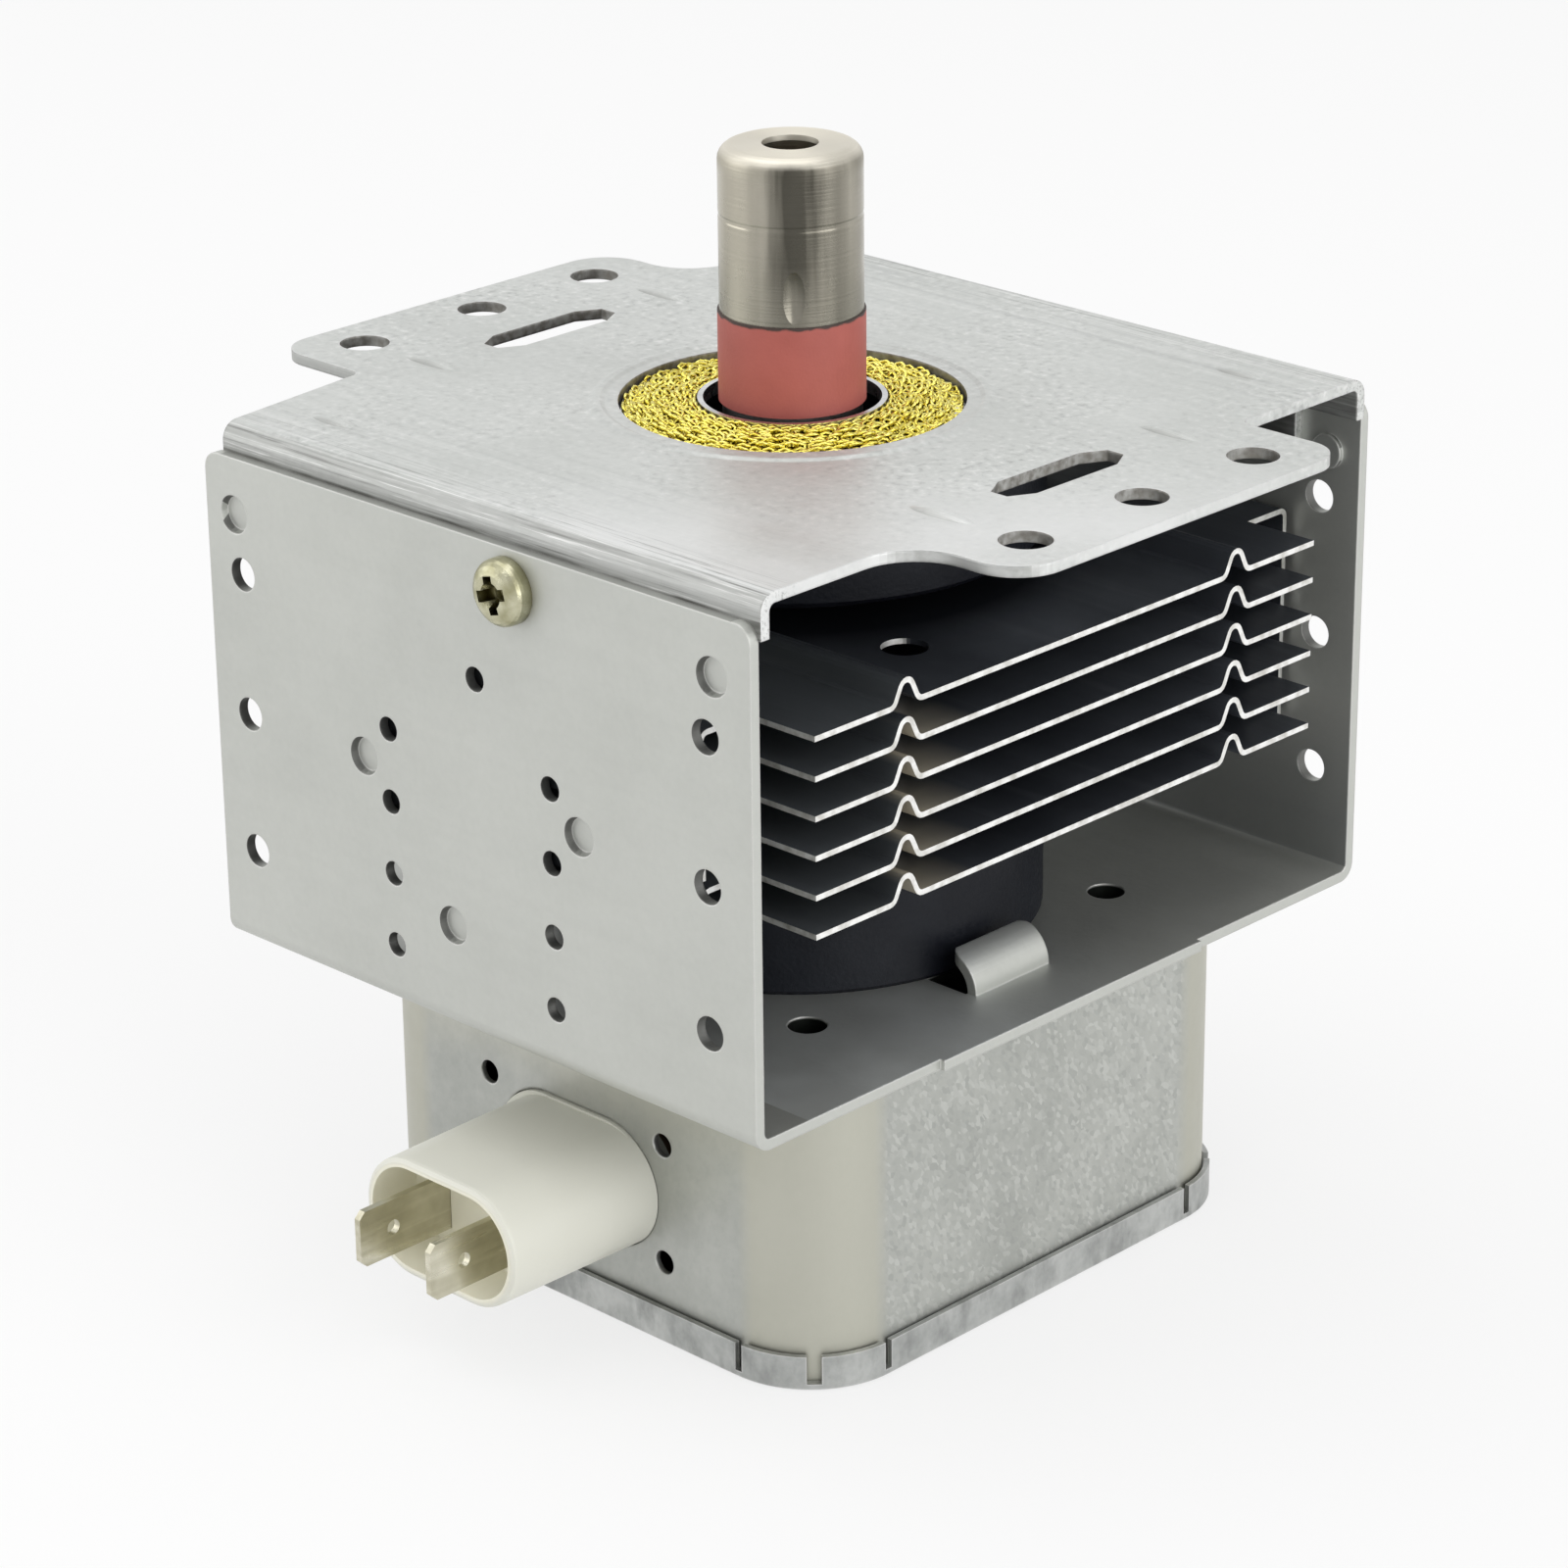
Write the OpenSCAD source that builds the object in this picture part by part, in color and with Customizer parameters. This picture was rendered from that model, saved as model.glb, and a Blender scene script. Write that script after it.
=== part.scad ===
// Microwave-oven magnetron with a folded steel yoke, six cooling fins and a filter box.
// The origin is on the antenna axis at the mounting face of the top plate, +Z points along the antenna.
// The connector points to -Y, and cooling air passes along X between the fins.

/* [Sheet steel] */
// Thickness of the yoke and top plate steel
sheet_t = 1.2; // [1:0.1:1.4]
// Inside radius of the folds in the yoke steel
fold_r = 0.8; // [0.5:0.1:1.2]

/* [Lower yoke] */
// Width of the yoke walls, along X
yoke_w = 80; // [78:1:86]
// Distance across the outer faces of the two walls, along Y
yoke_d = 95; // [94:1:100]
// How far the wall tops stay below the mounting face
wall_drop = 3; // [2.6:0.1:3.6]
// Radius of the walls' upper corners
wall_corner_r = 2; // [1:0.5:3]
// Distance between the two columns of large wall holes
column_gap = 68.5; // [66:0.5:70]
// Diameter of the large wall holes
column_hole_d = 3.7; // [3:0.1:4.2]
// Depth of the first large wall hole below the mounting face
column_drop = 15.75; // [15:0.25:17]
// Spacing of the large wall holes in a column
column_pitch = 15.75; // [14:0.25:16.5]
// Distance between the two columns of small wall holes
row_gap = 24.2; // [22:0.2:26]
// Diameter of the small wall holes
row_hole_d = 2.7; // [2:0.1:3]
// Depth of the first small wall hole below the mounting face
row_drop = 27.3; // [26:0.1:29]
// Spacing of the small wall holes in a column
row_pitch = 8.1; // [7.5:0.1:8.6]
// Diameter of the half-pierced dimples
dimple_d = 4.2; // [3.6:0.1:4.6]
// Height that a dimple stands out on the inner face
dimple_h = 0.5; // [0.3:0.1:0.6]
// How far the base's middle stands out past the walls' ends
base_step = 0.6; // [0.3:0.1:1]
// Width of the base's middle part
base_step_w = 41; // [36:1:46]
// Outer radius of the lugs that locate the lower magnet
lug_r = 4.2; // [3.6:0.1:5]
// Width of these lugs
lug_w = 11.6; // [9:0.2:13]
// Distance between the base's burred holes, along X
burr_gap_x = 48.6; // [46:0.2:50]
// Distance between the base's burred holes, along Y
burr_gap_y = 47.6; // [46:0.2:50]
// Bore of the burred holes
burr_d = 4.2; // [3.6:0.1:4.8]
// Offset of the wall screws from the middle of the wall
screw_x = 6.4; // [4:0.2:10]
// Depth of the wall screws below the mounting face
screw_drop = 7.4; // [7:0.1:8]
// Diameter of the screws' thread
screw_d = 4; // [3.5:0.1:4.2]
// Diameter of the screws' heads
screw_head_d = 7.1; // [6.6:0.1:8]

/* [Top plate] */
// Width of the plate between its ears, along X
plate_w = 80.6; // [79:0.2:84]
// Distance across the outer edges of the two ears
ear_span = 109; // [107:0.5:113]
// Length of an ear, along Y
ear_l = 50.4; // [48:0.2:54]
// Distance of the ear holes from the ears' outer edges
ear_edge = 6.2; // [5.5:0.1:7]
// Distance between the end holes of a row
ear_hole_y = 35; // [32:0.5:38]
// Diameter of the ear holes
ear_hole_d = 5.5; // [4.5:0.1:6]
// Distance between the middles of the two slots
slot_gap = 74.4; // [72:0.2:76]
// Width of a slot
slot_w = 5.2; // [4:0.1:6]
// Length of a slot
slot_l = 17.9; // [15:0.1:20]
// Diameter of the plate's centre hole
mouth_d = 37; // [36:0.2:40]
// Height of the plate's flanges at their middle
flange_h = 12; // [11:0.2:13]
// Height of the plate's flanges at their ends
flange_end_h = 4.7; // [4:0.1:6]
// Length of the tall part of a flange
flange_l = 64; // [60:1:66]
// How far one edge of the plate runs in at the fold
trim_w = 2; // [0.5:0.1:2.5]

/* [Magnets and anode] */
// Outer diameter of the ferrite rings
magnet_d = 54; // [52:0.5:56]
// Bore of the ferrite rings
magnet_bore = 24; // [24:0.2:28]
// Height of each ferrite ring
magnet_h = 12.8; // [12:0.1:14]
// Outer diameter of the anode cylinder
anode_d = 38; // [37:0.2:40]
// Wall of the anode cylinder
anode_wall = 2.5; // [2:0.1:3]
// Height of the anode cylinder
anode_h = 27.4; // [26:0.2:29]
// Thickness of the pole pieces
pole_t = 1.6; // [1.3:0.1:1.9]
// Number of anode vanes
vane_count = 10; // [8:2:12]
// Thickness of a vane
vane_t = 1.8; // [1.4:0.1:2]
// Height of a vane
vane_h = 9.5; // [8.5:0.1:10]
// Diameter of the space inside the vane tips
vane_tip_d = 9; // [8.6:0.1:9.6]

/* [Fins] */
// Thickness of the fin sheet
fin_t = 0.6; // [0.4:0.05:0.7]
// Spacing of the fins
fin_pitch = 4.2; // [3.9:0.05:4.3]
// Depth of the first fin below the upper magnet
fin_drop = 2.9; // [2.6:0.1:3.2]
// Length of a fin, along the air flow
fin_l = 80; // [76:1:82]
// Width of a fin at its two ends
fin_end_w = 77.4; // [74:0.2:80]
// Length of the part of a fin that reaches the walls
fin_mid_l = 61.8; // [58:0.2:64]
// Height of the side tabs that are folded down
fin_tab_h = 3.3; // [2.6:0.1:3.4]
// Distance between the crests of the two ridges
ridge_gap = 51.2; // [49:0.2:54]
// Width of a ridge between the middles of its rounded feet
ridge_w = 4.8; // [4.4:0.1:5.8]
// Height of a ridge
ridge_h = 2.5; // [2:0.1:2.8]
// Diameter of the round hole beside the anode
fin_hole_d = 5; // [4:0.1:6]
// Height of the collar round the anode
collar_h = 2.2; // [1.6:0.1:2.6]

/* [Antenna and gasket] */
// Outer diameter of the output ceramic
ceramic_d = 15.7; // [15.4:0.1:17]
// Height of the output ceramic
ceramic_h = 9.8; // [8:0.1:11]
// Height of the ceramic's foot above the mounting face
ceramic_z = 0.1; // [-0.4:0.1:1.2]
// Outer diameter of the antenna cap
cap_d = 15.3; // [14.8:0.1:15.4]
// Height of the antenna cap
cap_h = 17.8; // [16:0.1:20]
// Wall of the antenna cap
cap_t = 0.6; // [0.5:0.05:0.7]
// Radius of the cap's shoulder
cap_shoulder_r = 1.6; // [1.2:0.1:2.6]
// Diameter of the hole in the cap's top
cap_hole_d = 6; // [4:0.1:7]
// Bore of the ring inside the gasket
ring_bore = 19; // [18.6:0.1:20]
// Height of this ring above the mounting face
ring_z = 0.25; // [0.1:0.05:0.6]

/* [Filter box] */
// Width of the box, along X
box_w = 69; // [66:0.5:72]
// Depth of the box, along Y
box_d = 69.4; // [66:0.2:72]
// Height of the box
box_h = 35.2; // [33:0.2:38]
// Offset of the box from the antenna axis, away from the connector
box_shift = 1; // [0:0.1:1.4]
// Sheet thickness of the box
box_t = 0.7; // [0.5:0.05:0.9]
// Radius of the box's upright corners
box_corner_r = 10.3; // [8:0.1:12]
// Sheet thickness of the lid
lid_t = 0.6; // [0.5:0.05:0.8]
// Height of the lid's folded skirt
skirt_h = 3.2; // [2.5:0.1:4]

/* [Connector] */
// Width of the connector shell
conn_w = 22.9; // [22:0.1:24]
// Height of the connector shell
conn_h = 13.6; // [13:0.1:14]
// Wall of the connector shell
conn_wall = 1; // [0.8:0.1:1.3]
// Length of the shell outside the box
conn_reach = 20.6; // [18:0.2:23]
// Depth of the connector's mouth, from its rim to the floor that holds the blades
conn_depth = 6.2; // [5:0.1:14]
// Depth of the connector's middle below the box's roof
conn_drop = 20; // [19.6:0.1:20.6]
// Width of the blade terminals
tab_w = 6.35; // [6.3:0.05:6.4]
// Thickness of the blade terminals
tab_t = 0.8; // [0.6:0.05:0.9]
// Distance between the two blades
tab_gap = 10.9; // [10.4:0.1:11.4]
// Length that the blades stand out of the shell
tab_reach = 6.5; // [5:0.1:8]
// Distance between the holes beside the connector, along X
side_hole_x = 26.6; // [26.4:0.1:28]
// Distance between the holes beside the connector, along Z
side_hole_z = 13.8; // [13.4:0.1:15]
// Diameter of the holes beside the connector
side_hole_d = 2.7; // [2:0.1:3]

/* [Chokes] */
// Radius of the choke wire
wire_r = 0.7; // [0.6:0.05:0.75]
// Diameter of the ferrite cores
core_d = 5; // [4:0.1:5.2]
// Length of the ferrite cores
core_l = 20; // [17:0.5:22]
// Distance of a choke from the middle of the box
choke_x = 12; // [11.6:0.1:14]

/* [Hidden] */
$fn = 64;

// Clearances: a press or solder seat, a drop-in seat, the lid's skirt, and a free passage
seat_gap = 0.05;
slip_gap = 0.15;
lid_gap = 0.28;
free_gap = 0.35;
eps = 0.01;

// Distance between the two rows of ear holes
ear_hole_x = ear_span - 2 * ear_edge;

// Beads pressed into the plate: radius and height of their section, place and length of the ones near the
// folds, and length of the ones beside the slots
rib_r = 1.5;
rib_h = 0.45;
rib_in_x = 10.6;
rib_in_y = 6.1;
fold_rib_l = 6.6;
slot_rib_l = 8.4;
// Distance from an ear to the run-in of the plate's edge
trim_gap = 2;

// Levels of the stack, from the mounting face down to the box's floor
plate_under_z = -sheet_t;
upper_magnet_z = plate_under_z - magnet_h;
anode_top_z = upper_magnet_z - pole_t;
anode_bottom_z = anode_top_z - anode_h;
lower_magnet_z = anode_bottom_z - pole_t;
base_z = lower_magnet_z - magnet_h;
roof_z = base_z - sheet_t;
box_bottom_z = roof_z - box_h;
anode_mid_z = (anode_top_z + anode_bottom_z) / 2;

// Inner faces of the walls, and the outer radius of their folds
wall_in_y = yoke_d / 2 - sheet_t;
fold_out_r = fold_r + sheet_t;
anode_r = anode_d / 2;
anode_bore_r = anode_r - anode_wall;

// Corner dimples that carry the ends of the plate's flanges, and the ones lower on the connector side
corner_dimple_x = column_gap / 2 + 1;
corner_dimple_z = -flange_end_h - dimple_d / 2 - 2.5;
front_dimples = [
    [-row_gap / 2 - 4.4, -row_drop - row_pitch / 2], [row_gap / 2 + 3.6, -row_drop - row_pitch / 2],
    [-3.6, -row_drop - 2.4 * row_pitch]
];
// Depth of a dimple on the outer face, and how far its edge slopes in
dimple_press_h = dimple_h + 0.3;
dimple_slope = 0.25;
// The lone small hole above the connector's columns
lone_hole_x = 1;
lone_hole_rise = 9;
// The walls' patterns sit off the middle, and a little higher on the wall away from the connector
wall_shift = 0.45;
back_lift = 1;
// Axis of the lugs' curl, their offset along Y, and how far they curl
lug_x = magnet_d / 2 + 1.2;
lug_y = -0.8;
lug_turn = 84;

// Tube: pole tips, seal sleeves, cathode and stem
pole_bore_r = vane_tip_d / 2 + 0.2;
tip_gap = 1.55;
tip_depth = anode_h / 2 - vane_h / 2 - tip_gap;
sleeve_r = 9;
sleeve_t = 0.7;
sleeve_foot_r = magnet_bore / 2 - free_gap;
neck_r = ceramic_d / 2 - 0.4;
ceramic_bore_r = 5.6;
ceramic_top_z = ceramic_z + ceramic_h;
cap_in_r = cap_d / 2 - cap_t;
hat_r = vane_tip_d / 2 - 1;
hat_t = 1.5;
hat_z = vane_h / 2 + 0.15;
strap_t = 0.8;
strap_r = vane_tip_d / 2 + 1.1;
lead_r = 0.7;
lead_x = 3.2;
lead_straight = 4;
lead_jog = 7;
lead_end = 1.5;
stem_r = sleeve_r - 0.4;
stem_top_z = roof_z - 2.8;
stem_h = 6.6;
stem_bottom_z = stem_top_z - stem_h;
stem_hole_r = sleeve_r + 1.5;
tube_r = 2.2;
tube_bore_r = 1.3;
exhaust_h = 4;
exhaust_roof_z = ceramic_top_z + exhaust_h;
pinch_z = exhaust_roof_z + 7;
feed_r = 9.5;

// Radius inside a ridge's crest and feet
ridge_r = 0.65;

// Gasket seat on the upper magnet, inside the plate's hole
ring_r = ring_bore / 2;
ring_t = 0.6;
ring_foot_t = 0.3;
gasket_out_r = mouth_d / 2 - 0.3;

// Connector and chokes
box_front_y = box_shift - box_d / 2;
conn_z = roof_z - conn_drop;
conn_collar = 0.5;
conn_flange = 1.2;
conn_draft = 0.25;
conn_rim = 0.5;
// The cut-out and the holes beside it sit off the connector's middle, and the blades a little below it
cut_x = -0.5;
side_hole_shift = -0.8;
tab_z = conn_z - 0.35;
conn_flange_t = 1.5;
conn_floor = conn_reach - conn_depth;
block_l = 9;
block_y = box_front_y + box_t + conn_flange_t;
coil_turns = 9.5;
coil_pitch = 2 * wire_r + 0.1;
coil_r = core_d / 2 + free_gap + wire_r;
coil_l = coil_turns * coil_pitch;
coil_z = conn_z + 2.5;
terminal_x = tab_gap / 2;
stem_blade_t = 0.8;
stem_blade_x = lead_x + 1.6;
stem_blade_w = 4;

// Sides of round and bent wires
wire_sides = 8;

// Bent sheet

// A quarter turn of bent sheet, from local +X to local +Y, running up local Z
module bend(inner_r, thickness, run) {
    rotate_extrude(angle = 90)
        translate([inner_r, 0])
            square([thickness, run]);
}

// Cuts a convex corner of radius r: the corner point is at the origin, the part lies at +X, +Y
module corner_cut(r, run) {
    difference() {
        translate([-eps, -eps, -eps])
            cube([r + eps, r + eps, run + 2 * eps]);
        translate([r, r, -2 * eps])
            cylinder(r = r, h = run + 4 * eps);
    }
}

// Fills a concave corner with radius r: the corner point is at the origin, the fill lies at +X, +Y
module corner_fill(r, run) {
    difference() {
        cube([r, r, run]);
        translate([r, r, -eps])
            cylinder(r = r, h = run + 2 * eps);
    }
}

// A block with round upright corners, built from pieces that share flat faces
module rounded_block(w, d, h, r) {
    translate([-(w / 2 - r), -d / 2, 0])
        cube([w - 2 * r, d, h]);
    for (side = [-1, 1]) {
        translate([side > 0 ? w / 2 - r : -w / 2, -(d / 2 - r), 0])
            cube([r, d - 2 * r, h]);
    }
    for (quarter = [0:3]) {
        corner_x = (quarter == 0 || quarter == 3 ? 1 : -1) * (w / 2 - r);
        corner_y = (quarter < 2 ? 1 : -1) * (d / 2 - r);
        translate([corner_x, corner_y, 0])
            rotate([0, 0, 90 * quarter])
                rotate_extrude(angle = 90)
                    square([r, h]);
    }
}

// A bar with half-round ends, w wide and h high, that runs from y0 to y1
module stadium_bar(w, h, y0, y1) {
    translate([-(w - h) / 2, y0, -h / 2])
        cube([w - h, y1 - y0, h]);
    for (side = [-1, 1]) {
        translate([side * (w - h) / 2, y1, 0])
            rotate([90, 0, 0])
                rotate([0, 0, side > 0 ? -90 : 90])
                    rotate_extrude(angle = 180)
                        square([h / 2, y1 - y0]);
    }
}

// A wall that runs round a stadium with its end axes core_w apart, as an [r, y] section about these axes
module stadium_wall(core_w, section) {
    for (side = [-1, 1]) {
        translate([side * core_w / 2, 0, 0])
            rotate([-90, 0, 0])
                rotate([0, 0, side > 0 ? -90 : 90])
                    rotate_extrude(angle = 180)
                        polygon(section);
        rotate([90, 0, 90])
            linear_extrude(height = core_w, center = true)
                polygon([for (p = section) [p[1], side * p[0]]]);
    }
}

// A hole of diameter d through a wall that is square to Y, centred on [x, z]
module wall_hole(x, z, d, y) {
    translate([x, y, z])
        rotate([90, 0, 0])
            cylinder(d = d, h = 4 * sheet_t, center = true);
}

// Round wire swept along points, where up is a direction that no stretch of the wire runs along

function unit(v) = v / norm(v);

function wire_dir(points, i) =
    unit(points[min(i + 1, len(points) - 1)] - points[max(i - 1, 0)]);

function wire_ring(points, ups, i, r, sides) =
    let (
        dir = wire_dir(points, i),
        side = unit(cross(dir, ups[i])),
        up = cross(side, dir)
    )
    [for (k = [0:sides - 1]) points[i] + r * (cos(360 * k / sides) * side + sin(360 * k / sides) * up)];

module wire(points, ups, r, sides = wire_sides) {
    count = len(points);
    rings = [for (i = [0:count - 1]) each wire_ring(points, ups, i, r, sides)];
    skin = [
        for (i = [0:count - 2], k = [0:sides - 1])
            let (next = (k + 1) % sides)
            [i * sides + k, i * sides + next, (i + 1) * sides + next, (i + 1) * sides + k]
    ];
    first_end = [for (k = [sides - 1:-1:0]) k];
    last_end = [for (k = [0:sides - 1]) (count - 1) * sides + k];
    polyhedron(rings, concat([first_end], skin, [last_end]), convexity = 10);
}

// Top plate: one stamping with two ears and two flanges that fold down inside the walls

// A short stiffening bead pressed up along X, whose crest follows a wide arc down to both ends
module plate_rib(length) {
    arc_r = (pow(length / 2, 2) + rib_h * rib_h) / (2 * rib_h);
    intersection() {
        translate([0, 0, rib_h - arc_r])
            rotate([90, 0, 0])
                rotate_extrude()
                    translate([arc_r - rib_r, 0])
                        circle(r = rib_r);
        translate([-length / 2, -2 * rib_r, -eps])
            cube([length, 4 * rib_r, 2 * rib_h]);
    }
}

module ear() {
    reach = ear_span / 2;
    difference() {
        translate([plate_w / 2 - eps, -ear_l / 2, -sheet_t])
            cube([reach - plate_w / 2 + eps, ear_l, sheet_t]);
        translate([reach, ear_l / 2, -sheet_t])
            rotate([0, 0, 180])
                corner_cut(4.5, sheet_t);
        translate([reach, -ear_l / 2, -sheet_t])
            rotate([0, 0, 90])
                corner_cut(5.5, sheet_t);
    }
    translate([plate_w / 2, ear_l / 2, -sheet_t])
        corner_fill(1.3, sheet_t);
    translate([plate_w / 2, -ear_l / 2, -sheet_t])
        rotate([0, 0, -90])
            corner_fill(6.5, sheet_t);
}

module slot() {
    end_w = slot_w * 0.42;
    taper = slot_w * 0.53;
    side_l = slot_l / 2 - taper;
    translate([0, 0, -2 * sheet_t])
        linear_extrude(height = 4 * sheet_t)
            polygon([
                [-slot_w / 2, -side_l], [-end_w / 2, -slot_l / 2],
                [end_w / 2, -slot_l / 2], [slot_w / 2, -side_l],
                [slot_w / 2, side_l], [end_w / 2, slot_l / 2], [-end_w / 2, slot_l / 2], [-slot_w / 2, side_l]
            ]);
}

module plate_flange() {
    fold_y = wall_in_y - fold_out_r;
    translate([-plate_w / 2, fold_y, -fold_out_r])
        rotate([90, 0, 90])
            bend(fold_r, sheet_t, plate_w);
    translate([-plate_w / 2, wall_in_y - sheet_t, -flange_end_h])
        cube([plate_w, sheet_t, flange_end_h - fold_out_r]);
    difference() {
        translate([-flange_l / 2, wall_in_y - sheet_t, -flange_h])
            cube([flange_l, sheet_t, flange_h - flange_end_h]);
        for (side = [-1, 1]) {
            translate([side * flange_l / 2, wall_in_y + sheet_t, -flange_h])
                rotate([90, side > 0 ? -90 : 0, 0])
                    corner_cut(2, 3 * sheet_t);
        }
    }
}

// The edge beside one ear runs in toward the fold
module plate_trim() {
    edge_x = -plate_w / 2;
    start_y = -ear_l / 2 - trim_gap;
    translate([0, 0, -2 * flange_h])
        linear_extrude(height = 3 * flange_h)
            polygon([
                [edge_x - 1, start_y], [edge_x, start_y], [edge_x + trim_w, -wall_in_y + fold_out_r],
                [edge_x + trim_w, -wall_in_y - 1], [edge_x - 1, -wall_in_y - 1]
            ]);
}

module top_plate() {
    flat_y = wall_in_y - fold_out_r;
    color("gainsboro")
    difference() {
        union() {
            translate([-plate_w / 2, -flat_y, -sheet_t])
                cube([plate_w, 2 * flat_y, sheet_t]);
            for (turn = [0, 180]) {
                rotate([0, 0, turn]) {
                    ear();
                    plate_flange();
                    translate([-plate_w / 2 + rib_in_x, -flat_y + rib_in_y, 0])
                        plate_rib(fold_rib_l);
                    for (end = [-1, 1]) {
                        translate([slot_gap / 2, end * ear_hole_y / 2, 0])
                            plate_rib(slot_rib_l);
                    }
                }
            }
            rotate_extrude()
                translate([mouth_d / 2 + 1.4, -eps])
                    polygon([[0, 0], [0.5, 0.22 + eps], [1.1, 0.22 + eps], [1.8, 0]]);
        }
        translate([0, 0, -2 * sheet_t])
            cylinder(d = mouth_d, h = 4 * sheet_t);
        plate_trim();
        for (turn = [0, 180]) {
            rotate([0, 0, turn]) {
                for (row = [-1, 0, 1]) {
                    translate([ear_hole_x / 2, row * ear_hole_y / 2, -2 * sheet_t])
                        cylinder(d = ear_hole_d, h = 4 * sheet_t);
                }
                translate([slot_gap / 2, 0, 0])
                    slot();
                wall_hole(-screw_x, -screw_drop, screw_d + 2 * seat_gap, wall_in_y);
            }
        }
    }
}

// Lower yoke: a folded U with holes, dimples, burrs and two lanced lugs

module dimple_press(x, z) {
    translate([x, yoke_d / 2 - dimple_press_h, z])
        rotate([-90, 0, 0])
            cylinder(
                d1 = dimple_d - 2 * dimple_slope,
                d2 = dimple_d + 2 * dimple_slope,
                h = 2 * dimple_press_h
            );
}

module dimple_boss(x, z) {
    translate([x, wall_in_y + eps, z])
        rotate([90, 0, 0])
            cylinder(d = dimple_d - 0.3, h = dimple_h + eps);
}

module yoke_wall(lift) {
    wall_bottom_z = base_z + fold_r;
    wall_h = -wall_drop - wall_bottom_z;
    difference() {
        translate([-yoke_w / 2, wall_in_y, wall_bottom_z])
            cube([yoke_w, sheet_t, wall_h]);
        for (side = [-1, 1]) {
            translate([side * yoke_w / 2, wall_in_y + 2 * sheet_t, -wall_drop])
                rotate([90, side > 0 ? 180 : 90, 0])
                    corner_cut(wall_corner_r, 3 * sheet_t);
            for (i = [0:2]) {
                wall_hole(
                    side * column_gap / 2 + wall_shift,
                    lift - column_drop - i * column_pitch,
                    column_hole_d,
                    wall_in_y
                );
            }
            dimple_press(side * corner_dimple_x + wall_shift, corner_dimple_z);
        }
        wall_hole(-screw_x, -screw_drop, screw_d + 2 * free_gap, wall_in_y);
    }
    for (side = [-1, 1]) {
        dimple_boss(side * corner_dimple_x + wall_shift, corner_dimple_z);
    }
    translate([-yoke_w / 2, wall_in_y - fold_r, base_z + fold_r])
        rotate([90, 0, 90])
            rotate([0, 0, -90])
                bend(fold_r, sheet_t, yoke_w);
}

// A lug lanced out of the base and curled up toward the magnet, with round corners at its free end
module magnet_lug() {
    end_x = lug_x + (lug_r - sheet_t) * cos(lug_turn);
    difference() {
        translate([lug_x, lug_y + lug_w / 2, base_z - eps])
            rotate([90, 0, 0])
                rotate_extrude(angle = lug_turn)
                    translate([lug_r - sheet_t, 0])
                        square([sheet_t, lug_w]);
        for (side = [-1, 1]) {
            translate([end_x, lug_y + side * lug_w / 2, base_z + lug_r / 2])
                rotate([0, 0, side > 0 ? -90 : 0])
                    corner_cut(1.6, lug_r);
        }
    }
}

module lug_window() {
    window_l = 1.35 * lug_r;
    translate([lug_x + lug_r - sheet_t - window_l, lug_y - lug_w / 2 - 0.3, roof_z - eps])
        cube([window_l, lug_w + 0.6, sheet_t + 2 * eps]);
}

module burr() {
    burr_r = burr_d / 2 + 0.6;
    lip_r = burr_r + 0.9;
    translate([0, 0, roof_z - box_t])
        cylinder(r = burr_r, h = box_t + eps);
    translate([0, 0, roof_z - box_t - 0.5])
        cylinder(r = lip_r, h = 0.5);
}

module at_burrs() {
    for (x = [-1, 1], y = [-1, 1]) {
        translate([x * burr_gap_x / 2, y * burr_gap_y / 2, 0])
            children();
    }
}

module lower_yoke() {
    flat_y = wall_in_y - fold_r;
    color("lightgray")
    difference() {
        union() {
            translate([-yoke_w / 2, -flat_y, roof_z])
                cube([yoke_w, 2 * flat_y, sheet_t]);
            translate([-yoke_w / 2 - base_step, -base_step_w / 2, roof_z])
                cube([yoke_w + 2 * base_step, base_step_w, sheet_t]);
            for (turn = [0, 180]) {
                rotate([0, 0, turn]) {
                    yoke_wall(turn > 0 ? 0 : back_lift);
                    magnet_lug();
                }
            }
            for (spot = front_dimples) {
                rotate([0, 0, 180])
                    dimple_boss(-spot[0], spot[1]);
            }
            at_burrs()
                burr();
        }
        for (turn = [0, 180]) {
            rotate([0, 0, turn])
                lug_window();
        }
        translate([0, 0, roof_z - eps])
            cylinder(r = stem_hole_r, h = sheet_t + 2 * eps);
        at_burrs()
            translate([0, 0, roof_z - 3 * sheet_t])
                cylinder(d = burr_d, h = 6 * sheet_t);
        for (spot = front_dimples) {
            rotate([0, 0, 180])
                dimple_press(-spot[0], spot[1]);
        }
        for (side = [-1, 1], i = [0:3]) {
            wall_hole(side * row_gap / 2 - wall_shift, -row_drop - i * row_pitch, row_hole_d, -wall_in_y);
        }
        wall_hole(lone_hole_x, -row_drop + lone_hole_rise, row_hole_d, -wall_in_y);
    }
}

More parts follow.
